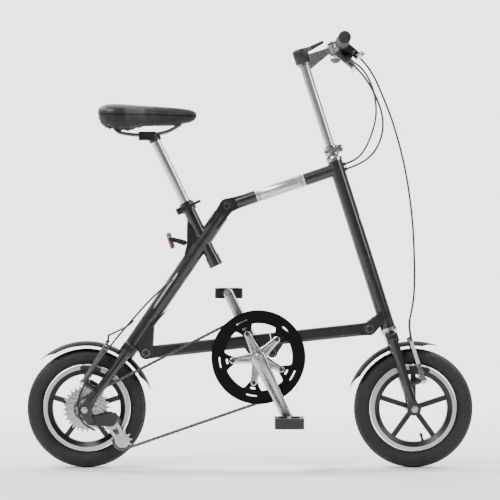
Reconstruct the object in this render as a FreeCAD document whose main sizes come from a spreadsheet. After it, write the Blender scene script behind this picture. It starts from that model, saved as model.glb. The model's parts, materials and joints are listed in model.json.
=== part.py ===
import FreeCAD, Part

import math
import os

# A folding bicycle with 12 inch wheels and a scissor frame, in millimetres.
# +X is forward, +Y is the rider's left and +Z is up. The origin is on the ground, midway between the axles.
V = FreeCAD.Vector
ACROSS = V(0, 1, 0)
SIDES = {"left": 1, "right": -1}

SIZES = (
    ("wheelbase", 830),
    ("wheel_radius", 151),
    ("tyre_width", 50),
    ("rim_radius", 108.5),
    ("rim_width", 31),
    ("felloe_radius", 86),
    ("hub_radius", 17.5),
    ("spoke_width", 13),
    ("spoke_depth", 16),
    ("axle_d", 10),
    ("brake_boss_d", 13),
    ("brake_stud_d", 8),
    ("skewer_d", 5),
    ("lever_pin_d", 4),
    ("guard_radius", 170),
    ("guard_width", 60),
    ("guard_wall", 2),
    ("front_guard_sweep", 93.5),
    ("rear_guard_sweep", 117.3),
    ("head_angle", 17.7),
    ("head_tube_d", 38),
    ("head_tube_bore", 34),
    ("head_tube_length", 445),
    ("steerer_d", 28.6),
    ("steerer_bore", 25.7),
    ("stem_post_d", 25.4),
    ("top_tube_d", 32),
    ("main_tube_d", 40),
    ("tube_wall", 2),
    ("seat_tube_d", 31.8),
    ("seat_tube_bore", 29.6),
    ("seat_post_d", 27.2),
    ("seat_post_length", 262),
    ("link_depth", 32),
    ("link_width", 38),
    ("link_wall", 3),
    ("eye_width", 26),
    ("ear_wall", 5.5),
    ("ear_gap", 26.6),
    ("pin_d", 12),
    ("pin_bore", 12.2),
    ("crank_length", 175),
    ("crank_angle", -64.2),
    ("chain_line", 45),
    ("chain_pitch", 12.7),
    ("ring_teeth", 54),
    ("chain_guard_d", 236),
    ("spindle_d", 17),
    ("bolt_circle", 65),
    ("pedal_width", 90),
    ("pedal_length", 72),
    ("pedal_depth", 26),
    ("bar_d", 22.2),
    ("bar_reach", 270),
    ("grip_d", 31),
    ("grip_length", 118),
    ("cable_d", 5),
)

doc = FreeCAD.newDocument("FoldingBicycle")
sheet = doc.addObject("Spreadsheet::Sheet", "Sizes")
for row, (alias, value) in enumerate(SIZES, start=1):
    sheet.set(f"A{row}", alias.replace("_", " "))
    sheet.set(f"B{row}", str(value))
    sheet.setAlias(f"B{row}", alias)
doc.recompute()

nodes = []


def size(alias):
    return float(sheet.get(alias))


def at(x, z, y=0):
    return V(x, y, z)


def ray(degrees, length=1.0):
    """A vector in the XZ plane, at an angle above +X."""
    return V(math.cos(math.radians(degrees)), 0, math.sin(math.radians(degrees))) * length


def node(name, piece):
    """Keeps a piece as a sub-part whose label names its file."""
    piece.Label = name
    nodes.append(piece)
    return piece


def turned_to(direction, along=V(0, 0, 1)):
    return FreeCAD.Rotation(along, direction)


def rod(name, start, end, radius):
    """A round bar, or the bore for one, from start to end."""
    solid = doc.addObject("Part::Cylinder", name)
    solid.Height = (end - start).Length
    solid.setExpression("Radius", radius)
    solid.Placement = FreeCAD.Placement(start, turned_to(end - start))
    return solid


def taper(name, start, end, start_radius, end_radius):
    solid = doc.addObject("Part::Cone", name)
    solid.Height = (end - start).Length
    solid.Radius1 = start_radius
    solid.Radius2 = end_radius
    solid.Placement = FreeCAD.Placement(start, turned_to(end - start))
    return solid


def block(name, centre, length, width, height, lean=0):
    """A box centred on a point, its length leaning up by an angle in the XZ plane."""
    solid = doc.addObject("Part::Box", name)
    solid.Length = length
    solid.Width = width
    solid.Height = height
    turn = FreeCAD.Rotation(V(0, -1, 0), lean)
    solid.Placement = FreeCAD.Placement(centre - turn.multVec(V(length, width, height) / 2), turn)
    return solid


def fuse(name, *pieces):
    """Several touching pieces made one, or the piece itself where there is only one."""
    if len(pieces) == 1:
        return pieces[0]
    whole = doc.addObject("Part::MultiFuse", name)
    whole.Shapes = list(pieces)
    return whole


def cut(name, base, *tools):
    piece = doc.addObject("Part::Cut", name)
    piece.Base = base
    piece.Tool = fuse(name + "_cutters", *tools)
    return piece


def rounded(name, base, radius, chosen):
    """Rounds the edges that a test picks from the base's shape."""
    doc.recompute()
    piece = doc.addObject("Part::Fillet", name)
    piece.Base = base
    edges = enumerate(base.Shape.Edges, start=1)
    piece.Edges = [(number, radius, radius) for number, edge in edges if chosen(edge)]
    return piece


def group(name, *pieces):
    """Several separate solids that are one sub-part."""
    whole = doc.addObject("Part::Compound", name)
    whole.Links = list(pieces)
    return whole


def tube(name, start, end, outer, inner):
    return cut(name, rod(name + "_wall", start, end, outer), rod(name + "_bore", start, end, inner))


def free_solid(name, shape):
    feature = doc.addObject("Part::Feature", name)
    feature.Shape = shape
    return feature


def outline_edges(outline):
    """Edges of a closed outline. A pair of points in it is an arc: a point passed through and its end."""
    edges = []
    here = outline[0]
    for step in outline[1:] + outline[:1]:
        is_arc = isinstance(step[0], tuple)
        there = step[1] if is_arc else step
        ends = V(*here, 0), V(*there, 0)
        if is_arc:
            edges.append(Part.Arc(ends[0], V(*step[0], 0), ends[1]))
        elif (ends[1] - ends[0]).Length > 1e-6:
            edges.append(Part.LineSegment(*ends))
        here = there
    return edges


def sketch_on(body, plane, name, outlines):
    sketch = body.newObject("Sketcher::SketchObject", name)
    faces = [face for face in body.Origin.OriginFeatures if face.Role == plane]
    sketch.AttachmentSupport = (faces[0], [""])
    sketch.MapMode = "FlatFace"
    for outline in outlines:
        sketch.addGeometry(outline_edges(outline))
    return sketch


def axes(x_axis, z_axis):
    """The turn that takes X and Z to two given directions."""
    return FreeCAD.Rotation(x_axis, z_axis.cross(x_axis), z_axis, "ZXY")


def plate(name, origin, thickness, *outlines, turn=FreeCAD.Rotation()):
    """A flat piece in the XZ plane, centred on its origin's y. Outlines after the first are holes."""
    body = doc.addObject("PartDesign::Body", name)
    pad = body.newObject("PartDesign::Pad", name + "_pad")
    pad.Profile = sketch_on(body, "XZ_Plane", name + "_outline", outlines)
    pad.SideType = "Symmetric"
    pad.setExpression("Length", str(thickness))
    body.Placement = FreeCAD.Placement(origin, turn)
    return body


def turned(name, origin, outline, sweep=None, middle=0, axis=ACROSS):
    """A turned piece from an outline of (radius, distance along the axis), swept whole or about an angle."""
    body = doc.addObject("PartDesign::Body", name)
    revolution = body.newObject("PartDesign::Revolution", name + "_turn")
    sketch = sketch_on(body, "XY_Plane", name + "_outline", [outline])
    revolution.Profile = sketch
    revolution.ReferenceAxis = (sketch, ["V_Axis"])
    revolution.Angle = 360
    if sweep:
        revolution.Midplane = True
        revolution.setExpression("Angle", sweep)
    turn = FreeCAD.Rotation(V(0, -1, 0), middle)
    if axis != ACROSS:
        turn = FreeCAD.Rotation(ACROSS, axis)
    body.Placement = FreeCAD.Placement(origin, turn)
    return body


def circle_outline(centre, radius):
    x, z = centre
    return [(x - radius, z), ((x, z + radius), (x + radius, z)), ((x, z - radius), (x - radius, z))]


def arm_outline(start, start_radius, end, end_radius):
    """A tapered arm with round ends, as an outline in the XZ plane."""
    along = V(end[0] - start[0], end[1] - start[1], 0)
    heading = math.atan2(along.y, along.x)
    spread = math.acos((start_radius - end_radius) / along.Length)

    def rim(centre, radius, angle):
        return (centre[0] + radius * math.cos(angle), centre[1] + radius * math.sin(angle))

    return [
        rim(start, start_radius, heading + spread),
        (rim(start, start_radius, heading + math.pi), rim(start, start_radius, heading - spread)),
        rim(end, end_radius, heading - spread),
        (rim(end, end_radius, heading), rim(end, end_radius, heading + spread)),
    ]


def arm(name, start, start_radius, end, end_radius, y, thickness):
    """A flat arm with round ends between two points of the XZ plane."""
    outline = arm_outline((start.x, start.z), start_radius, (end.x, end.z), end_radius)
    return plate(name, V(0, y, 0), thickness, outline)


def ears(name, start, start_radius, end, end_radius):
    """A pair of arms, one each side of an eye."""
    pair = []
    for side, sign in SIDES.items():
        y = sign * (size("ear_gap") + size("ear_wall")) / 2
        pair.append(arm(f"{name}_{side}", start, start_radius, end, end_radius, y, "Sizes.ear_wall"))
    return pair


def pivot_bore(name, pivot, reach=40):
    return rod(name, pivot - ACROSS * reach, pivot + ACROSS * reach, "Sizes.pin_bore / 2")


def rounded_route(points):
    """A path of straight runs joined by tangent arcs, with its radii."""
    edges = []
    radii = []
    here = points[0]
    for before, corner, after in zip(points, points[1:], points[2:]):
        back = before - corner
        ahead = after - corner
        turn = math.pi - back.getAngle(ahead)
        reach = 0.45 * min(back.Length, ahead.Length)
        radii.append(reach / math.tan(turn / 2))
        back.normalize()
        ahead.normalize()
        start = corner + back * reach
        end = corner + ahead * reach
        inward = (back + ahead).normalize()
        middle = corner + inward * (radii[-1] / math.cos(turn / 2) - radii[-1])
        edges.append(Part.LineSegment(here, start).toShape())
        edges.append(Part.Arc(start, middle, end).toShape())
        here = end
    edges.append(Part.LineSegment(here, points[-1]).toShape())
    return Part.Wire(edges), radii


def swept(name, points, diameter):
    """A round wire or cable along a route, with its volume compared with its section times its length."""
    path, radii = rounded_route(points)
    start = points[0]
    profile = Part.Wire([Part.makeCircle(diameter / 2, start, points[1] - start)])
    shape = path.makePipeShell([profile], True, False)
    expected = math.pi * diameter**2 / 4 * path.Length
    print(f"{name}: {path.Length:.0f} mm long, smallest radius {min(radii):.0f} mm,"
          f" volume {shape.Volume / expected:.4f} of its section times its length")
    return free_solid(name, shape)


# The frame's pivots and the two axles
REAR_AXLE = at(-size("wheelbase") / 2, size("wheel_radius"))
FRONT_AXLE = at(size("wheelbase") / 2, size("wheel_radius"))
TOP_HINGE = at(-58.5, 664.2)
REAR_HINGE = at(-263.4, 291.9)
MID_HINGE = at(56.3, 293.2)
FRONT_HINGE = at(303, 352.8)
BOTTOM_BRACKET = at(21.1, 282.3)

# The steering axis, from the lower end of the head tube
STEER_UP = ray(90 + size("head_angle"))
STEER_AHEAD = ray(size("head_angle"))
HEAD_BOTTOM = at(350.8, 355)
HEAD_TOP = HEAD_BOTTOM + STEER_UP * size("head_tube_length")
CROWN = HEAD_BOTTOM - STEER_UP * 27

# The stem and the handlebars
STEM_TOP = HEAD_BOTTOM + STEER_UP * 735
BAR_CENTRE = STEM_TOP - STEER_UP * 20 + STEER_AHEAD * 100
BAR_HINGE = BAR_CENTRE - STEER_AHEAD * 18
LEVER_PIVOT = STEM_TOP + STEER_AHEAD * 26 + STEER_UP * 1

# The quick releases: the radius of a lever's root, and how far its pin's ears stand from its middle
LEVER_ROOT = 6.5
LEVER_EAR = 5.3

# The brake levers: their slope, the direction of their pivots, and the reach from the bar to the pivot
LEVER_ANGLE = -40
LEVER_OUT = ray(LEVER_ANGLE)
LEVER_AXIS = ray(LEVER_ANGLE + 90)
LEVER_REACH = 46
PERCH_Y = size("bar_reach") - size("grip_length") - 22

# The pivots of the brake arms, and the directions of the arms and of their studs
BRAKE_FRONT = at(438, 224)
BRAKE_REAR = at(-419, 219)
REAR_BRAKE_UP = ray(60)
REAR_BRAKE_BACK = ray(150)
FRONT_BRAKE_Y = 40
REAR_BRAKE_Y = 57

# The rear frame
TUBE_TOP_JOINT = at(221.6, 758.6)
TOP_TUBE_AHEAD = (TUBE_TOP_JOINT - TOP_HINGE).normalize()
TUBE_END = at(-306, 300.6)
TUBE_DOWN = (TUBE_END - TOP_HINGE).normalize()
MAIN_TUBE_LEAN = math.degrees(math.atan2(-TUBE_DOWN.z, -TUBE_DOWN.x))
SEAT_TUBE_TOP = at(-162.5, 670.3)
SEAT_TUBE_BOTTOM = at(-86.3, 513.7)
SEAT_UP = (SEAT_TUBE_TOP - SEAT_TUBE_BOTTOM).normalize()
POST_TOP = SEAT_TUBE_TOP + SEAT_UP * 187
LINK_AHEAD = (FRONT_HINGE - REAR_HINGE).normalize()
LINK_UP = V(-LINK_AHEAD.z, 0, LINK_AHEAD.x)

# The drive
HANGER = at(-402, 122)
GUIDE_PULLEY = at(-352, 119)
TENSION_PULLEY = at(-322, 72)
COG_TEETH = (11, 13, 15, 18, 21, 24, 28)
COG_SPACING = 4.6


# Front frame: head tube, top tube, headset and the pins of the two pivots that it carries

def head_tube():
    """The long head tube, with the ears of the front pivot and two cable ports near its top."""
    wall = rod("head_tube_wall", HEAD_BOTTOM, HEAD_TOP, "Sizes.head_tube_d / 2")
    lug = ears("head_lug", FRONT_HINGE, 17, HEAD_BOTTOM + STEER_UP * 34, 12)
    ports = []
    for number, height in enumerate((417, 430)):
        root = HEAD_BOTTOM + STEER_UP * height + STEER_AHEAD * 10
        ports.append(rod(f"cable_port_{number}", root, root + STEER_AHEAD * 14, "Sizes.cable_d"))
    bore = rod("head_tube_bore", HEAD_BOTTOM, HEAD_TOP, "Sizes.head_tube_bore / 2")
    whole = fuse("head_tube_solid", wall, *lug, *ports)
    return node("head_tube", cut("head_tube_part", whole, bore, pivot_bore("front_pivot_bore", FRONT_HINGE)))


def top_tube():
    """The sloping tube, coped to the head tube, with the tongue of the top hinge."""
    start = TOP_HINGE + TOP_TUBE_AHEAD * 25
    end = TUBE_TOP_JOINT + TOP_TUBE_AHEAD * 5
    wall = rod("top_tube_wall", start, end, "Sizes.top_tube_d / 2")
    bore = rod("top_tube_bore", start + TOP_TUBE_AHEAD * 30, end, "Sizes.top_tube_d / 2 - Sizes.tube_wall")
    tongue = arm("top_tongue", TOP_HINGE, 19, TOP_HINGE + TOP_TUBE_AHEAD * 40, 14, 0, 22)
    hollow = cut("top_tube_hollow", fuse("top_tube_solid", wall, tongue), bore)
    cope = rod("top_tube_cope", HEAD_BOTTOM, HEAD_TOP, "Sizes.head_tube_d / 2")
    return node("top_tube", cut("top_tube_part", hollow, cope, pivot_bore("top_pivot_bore", TOP_HINGE)))


def headset():
    """The lower and the upper headset cup, turned rings with a step."""
    cups = []
    for name, seat, away in (("lower", HEAD_BOTTOM, -1), ("upper", HEAD_TOP, 1)):
        outline = [(14.5, 0), (21.5, 0), (21.5, 8), (19, 14), (14.5, 14)]
        cups.append(turned(f"{name}_cup", seat, outline, axis=STEER_UP * away))
    return node("headset", group("headset_cups", *cups))


def frame_hinge_pins():
    """The short pin inside the top hinge's tongue and the through pin of the front pivot."""
    top = rod("top_pin", TOP_HINGE - ACROSS * 11, TOP_HINGE + ACROSS * 11, "Sizes.pin_d / 2")
    front = rod("front_pin", FRONT_HINGE - ACROSS * 20, FRONT_HINGE + ACROSS * 20, "Sizes.pin_d / 2")
    heads = []
    for side, sign in SIDES.items():
        head = FRONT_HINGE + ACROSS * 19 * sign
        heads.append(rod(f"front_pin_head_{side}", head, head + ACROSS * 4 * sign, "Sizes.pin_d * 0.8"))
    return node("frame_hinge_pins", group("frame_pins", top, fuse("front_pin_whole", front, *heads)))


# Fork, steering collar, front mudguard and axle

def wheel_slot(name, axle):
    return rod(name, axle - ACROSS * 90, axle + ACROSS * 90, "Sizes.axle_d / 2 + 0.1")


def fork():
    """Steerer, crown, two legs with their wheel ends, and the studs that carry the brake arms."""
    pieces = [
        rod("steerer", CROWN, HEAD_TOP + STEER_UP * 40, "Sizes.steerer_d / 2"),
        rounded("crown", block("crown_block", CROWN, 32, 114, 23, size("head_angle")), 8,
                lambda edge: edge.Length < 33),
    ]
    for side, sign in SIDES.items():
        y = 46 * sign
        offset = ACROSS * y
        top = CROWN + offset
        pieces.append(taper(f"fork_leg_{side}", top, FRONT_AXLE + STEER_UP * 22 + offset, 13, 10))
        pieces.append(arm(f"fork_end_{side}", FRONT_AXLE, 14, FRONT_AXLE + STEER_UP * 40, 9, y, 6))
        stud = BRAKE_FRONT + ACROSS * FRONT_BRAKE_Y * sign
        back = stud - STEER_AHEAD * 46
        pieces.append(rod(f"front_boss_{side}", back, stud - STEER_AHEAD * 8, "Sizes.brake_boss_d / 2"))
        pieces.append(rod(f"front_stud_{side}", back, stud + STEER_AHEAD * 9, "Sizes.brake_stud_d / 2"))
    bore = rod("steerer_bore", CROWN + STEER_UP * 10, HEAD_TOP + STEER_UP * 41, "Sizes.steerer_bore / 2")
    solid = fuse("fork_solid", *pieces)
    return node("fork", cut("fork_part", solid, bore, wheel_slot("front_axle_bore", FRONT_AXLE)))


def collar_with_lug(name, centre, up, lug_towards, outer, inner, height):
    """A split clamp collar: a ring with a lug that a quick release pulls together."""
    half = up * (height / 2)
    wall = rod(f"{name}_wall", centre - half, centre + half, str(outer))
    bore = rod(f"{name}_bore", centre - half * 1.1, centre + half * 1.1, str(inner))
    lug = doc.addObject("Part::Box", f"{name}_lug")
    lug.Length = 12
    lug.Width = 17
    lug.Height = height - 4
    turn = axes(lug_towards, up)
    corner = V(outer - 2, -8.5, -(height - 4) / 2)
    lug.Placement = FreeCAD.Placement(centre + turn.multVec(corner), turn)
    slit = doc.addObject("Part::Box", f"{name}_slit")
    slit.Length = 30
    slit.Width = 2
    slit.Height = height + 4
    slit.Placement = FreeCAD.Placement(centre + turn.multVec(V(inner - 3, -1, -height / 2 - 2)), turn)
    return cut(f"{name}_part", fuse(f"{name}_solid", wall, lug), bore, slit)


def skewer_and_yoke(name, pivot, up, back):
    """A skewer through a collar's lug, and the two ears that carry its lever's pin."""
    lean = math.degrees(math.atan2(back.z, back.x))
    root = V(pivot.x, 0, pivot.z)
    bridge = V(pivot.x, pivot.y + LEVER_ROOT + 2.3, pivot.z)
    pieces = [
        rod(f"{name}_skewer", bridge, root + ACROSS * 13, "Sizes.skewer_d / 2"),
        block(f"{name}_bridge", bridge, 9, 4, 2 * LEVER_EAR + 3, lean),
        rod(f"{name}_lever_pin", pivot - up * LEVER_EAR, pivot + up * LEVER_EAR, "Sizes.lever_pin_d / 2"),
    ]
    for level, way in (("upper", 1), ("lower", -1)):
        middle = V(pivot.x, (pivot.y + bridge.y) / 2, pivot.z) + up * LEVER_EAR * way
        pieces.append(block(f"{name}_ear_{level}", middle, 7, bridge.y - pivot.y + 6, 3, lean))
    return pieces


def quick_release_lever(name, pivot, up, along, length):
    """A lever lying beside its collar, turning about the collar's own direction."""
    outline = arm_outline((0, 0), LEVER_ROOT, (length, -3), 4)
    turn = FreeCAD.Rotation(along, -up, ACROSS, "XYZ")
    hole = circle_outline((0, 0), size("lever_pin_d") / 2 + 0.1)
    return node(name, plate(name + "_blade", pivot, 7, outline, hole, turn=turn))


def steering_collar():
    """The silver collar that clamps the stem post, with the skewer and pivot of its quick release."""
    centre = HEAD_TOP + STEER_UP * 27
    collar = collar_with_lug("steer_collar", centre, STEER_UP, STEER_AHEAD, 18.5, 14.4, 22)
    pivot = centre + STEER_AHEAD * 23 - ACROSS * 26.5
    yoke = skewer_and_yoke("steer", pivot, STEER_UP, STEER_AHEAD)
    node("steering_collar", fuse("steer_collar_whole", collar, *yoke))
    quick_release_lever("steering_collar_lever", pivot, STEER_UP, -STEER_AHEAD, 40)


def pointed_end(name, axle, angle, way):
    """The two corners taken off a mudguard's end to leave a point at its crown."""
    tip = axle + ray(angle, 150)
    back = ray(angle - 90 * way, 40)
    shapes = []
    for side in SIDES.values():
        edge = ACROSS * side * 32
        beyond = back * -0.4
        corners = [tip, tip + back + edge, tip + beyond + edge, tip + beyond]
        face = Part.Face(Part.makePolygon(corners + corners[:1]))
        shapes.append(face.extrude(ray(angle, 30)))
    return free_solid(name, shapes[0].fuse(shapes[1]))


def mudguard(name, axle, first, last, sweep, crown_angle, crown_reach):
    """A crowned strip over the wheel with a point at each end, and the foot that meets the crown."""
    edge = size("guard_width") / 2
    outer = size("guard_radius")
    inner = outer - size("guard_wall")
    outline = [(outer - 9, -edge), ((outer, 0), (outer - 9, edge)),
               (inner - 9, edge), ((inner, 0), (inner - 9, -edge))]
    strip = turned(name + "_strip", axle, outline, sweep=sweep, middle=(first + last) / 2)
    ends = [pointed_end(name + "_first", axle, first, -1), pointed_end(name + "_last", axle, last, 1)]
    foot_height = crown_reach - inner
    foot_middle = axle + ray(crown_angle, inner + foot_height / 2)
    foot = block(name + "_foot", foot_middle, foot_height, 24, 24, crown_angle)
    return node(name, fuse(name + "_part", cut(name + "_cut", strip, *ends), foot))


def wheel_axle(name, axle, inner_face, outer_face, reach):
    """The axle, its two hexagon nuts and the two bearings inside the hub."""
    pieces = []
    shaft = rod(name + "_shaft", axle - ACROSS * reach, axle + ACROSS * reach, "Sizes.axle_d / 2")
    nuts = []
    for side, sign in SIDES.items():
        nut = doc.addObject("Part::Prism", f"{name}_nut_{side}")
        nut.Polygon = 6
        nut.Circumradius = 9
        nut.Height = 9
        nut.Placement = FreeCAD.Placement(axle + ACROSS * sign * outer_face, turned_to(ACROSS * sign))
        nuts.append(nut)
        race = axle + ACROSS * sign * (inner_face - 11)
        nearer = race + ACROSS * sign * 8
        outer = "Sizes.hub_radius - 5.6"
        pieces.append(tube(f"{name}_bearing_{side}", race, nearer, outer, "Sizes.axle_d / 2 + 0.05"))
    return node(name, group(name + "_group", fuse(name + "_with_nuts", shaft, *nuts), *pieces))


def wheel(name, axle, hub_left, hub_right):
    """A cast wheel in one piece: hub, five spokes, felloe and a rim with a flat brake track."""
    half = size("rim_width") / 2
    rim = size("rim_radius")
    felloe = size("felloe_radius")
    outline = [(felloe, -9), (felloe, 9), (rim - 11, half), (rim, half), (rim, half - 2.5),
               (rim - 9, half - 2.5), (rim - 9, 2.5 - half), (rim, 2.5 - half), (rim, -half),
               (rim - 11, -half)]
    pieces = [turned(name + "_rim", axle, outline)]
    pieces.append(rod(name + "_hub", axle - ACROSS * hub_right, axle + ACROSS * hub_left, "Sizes.hub_radius"))
    for number in range(5):
        middle = axle + ray(18 + 72 * number, (felloe + 12) / 2)
        spoke = block(f"{name}_spoke_{number}", middle, felloe - 6, 1, 1, 18 + 72 * number)
        spoke.setExpression("Width", "Sizes.spoke_depth")
        spoke.setExpression("Height", "Sizes.spoke_width")
        turn = spoke.Placement.Rotation
        corner = V(felloe - 6, size("spoke_depth"), size("spoke_width")) / 2
        spoke.Placement = FreeCAD.Placement(middle - turn.multVec(corner), turn)
        pieces.append(spoke)
    bore = rod(name + "_bore", axle - ACROSS * 60, axle + ACROSS * 60, "Sizes.hub_radius - 5.5")
    return node(name, cut(name + "_part", fuse(name + "_solid", *pieces), bore))


def tyre(name, axle):
    """A tyre with its beads inside the rim: a shell that is open towards the rim."""
    bead = size("rim_width") / 2 - 2.8
    rim = size("rim_radius")
    crown = size("wheel_radius")
    wide = size("tyre_width") / 2
    outline = [(rim - 7, -bead), (rim + 0.5, -bead), ((rim + 9, -wide + 2.5), (rim + 21, -wide)),
               ((crown - 5.5, -wide + 10), (crown, 0)), ((crown - 5.5, wide - 10), (rim + 21, wide)),
               ((rim + 9, wide - 2.5), (rim + 0.5, bead)), (rim - 7, bead), (rim - 7, bead - 4),
               (rim + 1, bead - 4), ((rim + 21, wide - 4), (crown - 5, 0)),
               ((rim + 21, 4 - wide), (rim + 1, 4 - bead)), (rim - 7, 4 - bead)]
    return node(name, turned(name + "_part", axle, outline))


def brake_arm(name, axle, pivot, up, y, sign):
    """A brake arm on its stud, with a pad facing the rim's brake track."""
    turn = axes(ACROSS * sign, up)
    stud = pivot + ACROSS * sign * y
    bore = circle_outline((0, 0), 4.1)
    lower = plate(name + "_lower", stud, 12, arm_outline((0, 0), 8, (-2, 42), 6), bore, turn=turn)
    upper = plate(name + "_upper", stud, 9, arm_outline((-2, 39), 5.5, (44 - y, 104), 4.5), turn=turn)
    track = pivot - axle + up * 28
    lean = math.degrees(math.atan2(track.z, track.x))
    shoe_centre = axle + ray(lean, size("rim_radius") - 5.5)
    gap = size("rim_width") / 2 + 2
    shoe = block(name + "_shoe", shoe_centre + ACROSS * sign * (gap + 4), 9, 8, 50, lean)
    post_start = shoe_centre + ACROSS * sign * (gap + 7)
    post = rod(name + "_post", post_start, stud + up * 28 - ACROSS * sign * 2, "3")
    return node(name, fuse(name + "_part", lower, upper, post, shoe))


# Stem and handlebars

def stem():
    """The telescopic post, the head with its forward arm and bar hinges, and the head's lever."""
    low = HEAD_BOTTOM + STEER_UP * 350
    outer = "Sizes.stem_post_d / 2"
    node("stem_post", tube("stem_post_part", low, STEM_TOP, outer, outer + " - Sizes.tube_wall"))
    sleeve = rod("stem_sleeve", STEM_TOP - STEER_UP * 36, STEM_TOP + STEER_UP * 3, outer + " + 4.5")
    arm_start = STEM_TOP - STEER_UP * 20
    forward = block("stem_arm", arm_start + STEER_AHEAD * 46, 66, 22, 17, size("head_angle"))
    web_points = [(12, -50), (76, -24), (76, -18), (12, -18)]
    web = plate("stem_web", STEM_TOP, 9, web_points, turn=axes(STEER_AHEAD, STEER_UP))
    centre = block("bar_hinge_centre", BAR_HINGE + STEER_AHEAD * 7, 38, 20, 33, size("head_angle"))
    pieces = [sleeve, forward, web, centre]
    pins = []
    for number, height in enumerate((-14.4, 14.4)):
        leaf = block(f"bar_hinge_leaf_{number}", BAR_HINGE + STEER_UP * height, 25, 76, 5, size("head_angle"))
        pieces.append(leaf)
    for side, sign in SIDES.items():
        middle = BAR_HINGE + ACROSS * sign * 26
        pins.append(rod(f"bar_pin_{side}", middle - STEER_UP * 20, middle + STEER_UP * 20, "4"))
        pieces.append(arm(f"lever_ear_{side}", STEM_TOP + STEER_AHEAD * 12, 7, LEVER_PIVOT, 5, 8.3 * sign, 4))
    pins.append(rod("lever_pin", LEVER_PIVOT - ACROSS * 11, LEVER_PIVOT + ACROSS * 11, "2"))
    bore = rod("stem_sleeve_bore", STEM_TOP - STEER_UP * 60, STEM_TOP + STEER_UP * 0.01, outer)
    holes = []
    for side, sign in SIDES.items():
        middle = BAR_HINGE + ACROSS * sign * 26
        holes.append(rod(f"bar_pin_hole_{side}", middle - STEER_UP * 22, middle + STEER_UP * 22, "4"))
    head = cut("stem_head_part", fuse("stem_head_solid", *pieces), bore, *holes)
    node("stem_head", group("stem_head_group", fuse("stem_head_whole", head, *pins)))
    tip = LEVER_PIVOT + STEER_AHEAD * 36 + STEER_UP * 6
    blade = arm_outline((0, 0), 5.5, (tip.x - LEVER_PIVOT.x, tip.z - LEVER_PIVOT.z), 3.5)
    hole = circle_outline((0, 0), 2.2)
    node("stem_head_lever", plate("stem_head_lever_part", LEVER_PIVOT, 12, blade, hole))


def barrel_line(sign):
    """Start and end of a brake perch's cable barrel, and the way that its cable leaves."""
    leaving = V(24, -33 * sign, -14).normalize()
    start = BAR_CENTRE + LEVER_OUT * 26 + ACROSS * sign * (PERCH_Y - 11)
    return start, start + leaving * 22, leaving


def handlebar_side(side, sign):
    """One folding half: tube with its hinge knuckle, grip, brake perch and brake lever."""
    hinge = BAR_HINGE + ACROSS * sign * 26
    reach = size("bar_reach")
    inner = BAR_CENTRE + ACROSS * sign * 14
    end = BAR_CENTRE + ACROSS * sign * reach
    wall = rod(f"bar_{side}_wall", inner, end, "Sizes.bar_d / 2")
    knuckle = rod(f"bar_{side}_knuckle", hinge - STEER_UP * 11.6, hinge + STEER_UP * 11.6, "11.5")
    neck = block(f"bar_{side}_neck", hinge + STEER_AHEAD * 8, 16, 20, 20, size("head_angle"))
    bore = rod(f"bar_{side}_bore", inner + ACROSS * sign * 30, end, "Sizes.bar_d / 2 - 2")
    hole = rod(f"bar_{side}_hole", hinge - STEER_UP * 13, hinge + STEER_UP * 13, "4.1")
    solid = fuse(f"bar_{side}_solid", wall, knuckle, neck)
    node(f"handlebar_{side}", cut(f"bar_{side}_part", solid, bore, hole))
    grip_start = end - ACROSS * sign * size("grip_length")
    sleeve = rod(f"grip_{side}_sleeve", grip_start, end + ACROSS * sign * 3, "Sizes.grip_d / 2")
    room = rod(f"grip_{side}_bore", grip_start, end, "Sizes.bar_d / 2")
    node(f"grip_{side}", cut(f"grip_{side}_part", sleeve, room))
    centre = BAR_CENTRE + ACROSS * sign * PERCH_Y
    clamp = rod(f"perch_{side}_clamp", centre - ACROSS * 15, centre + ACROSS * 15, "15.5")
    nose = block(f"perch_{side}_nose", centre + LEVER_OUT * 26, 32, 26, 17, LEVER_ANGLE)
    pieces = [clamp, nose]
    for level, height in (("upper", 7), ("lower", -7)):
        eye = centre + LEVER_OUT * LEVER_REACH + LEVER_AXIS * height
        pieces.append(rod(f"perch_{side}_ear_{level}", eye - LEVER_AXIS * 1.5, eye + LEVER_AXIS * 1.5, "9"))
    start, end, _ = barrel_line(sign)
    pieces.append(rod(f"perch_{side}_barrel", start, end, "4.5"))
    if side == "right":
        pod = centre - LEVER_AXIS * 10 + LEVER_OUT * 16 - ACROSS * sign * 12
        pieces.append(rod("shifter_pod", pod, pod - LEVER_AXIS * 20, "15"))
    pivot = centre + LEVER_OUT * LEVER_REACH
    pin = rod(f"perch_{side}_pin", pivot - LEVER_AXIS * 9, pivot + LEVER_AXIS * 9, "2.5")
    room = rod(f"perch_{side}_room", centre - ACROSS * 34, centre + ACROSS * 34, "Sizes.bar_d / 2")
    slot = block(f"perch_{side}_slot", pivot + LEVER_OUT * 1, 24, 32, 10.8, LEVER_ANGLE)
    body = cut(f"perch_{side}_part", fuse(f"perch_{side}_solid", *pieces), room, slot)
    node(f"brake_perch_{side}", group(f"perch_{side}_group", fuse(f"perch_{side}_whole", body, pin)))
    turn = FreeCAD.Rotation(ACROSS * sign, LEVER_AXIS, LEVER_OUT, "XZY")
    blade = arm_outline((0, 0), 8, (22, 6), 7)
    long_blade = arm_outline((22, 6), 7, (104, 12), 6)
    pieces = [plate(f"lever_{side}_root", pivot, 9.5, blade, circle_outline((0, 0), 2.6), turn=turn)]
    pieces.append(plate(f"lever_{side}_blade", pivot, 9.5, long_blade, turn=turn))
    node(f"brake_lever_{side}", fuse(f"lever_{side}_part", *pieces))


# Rear frame

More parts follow.
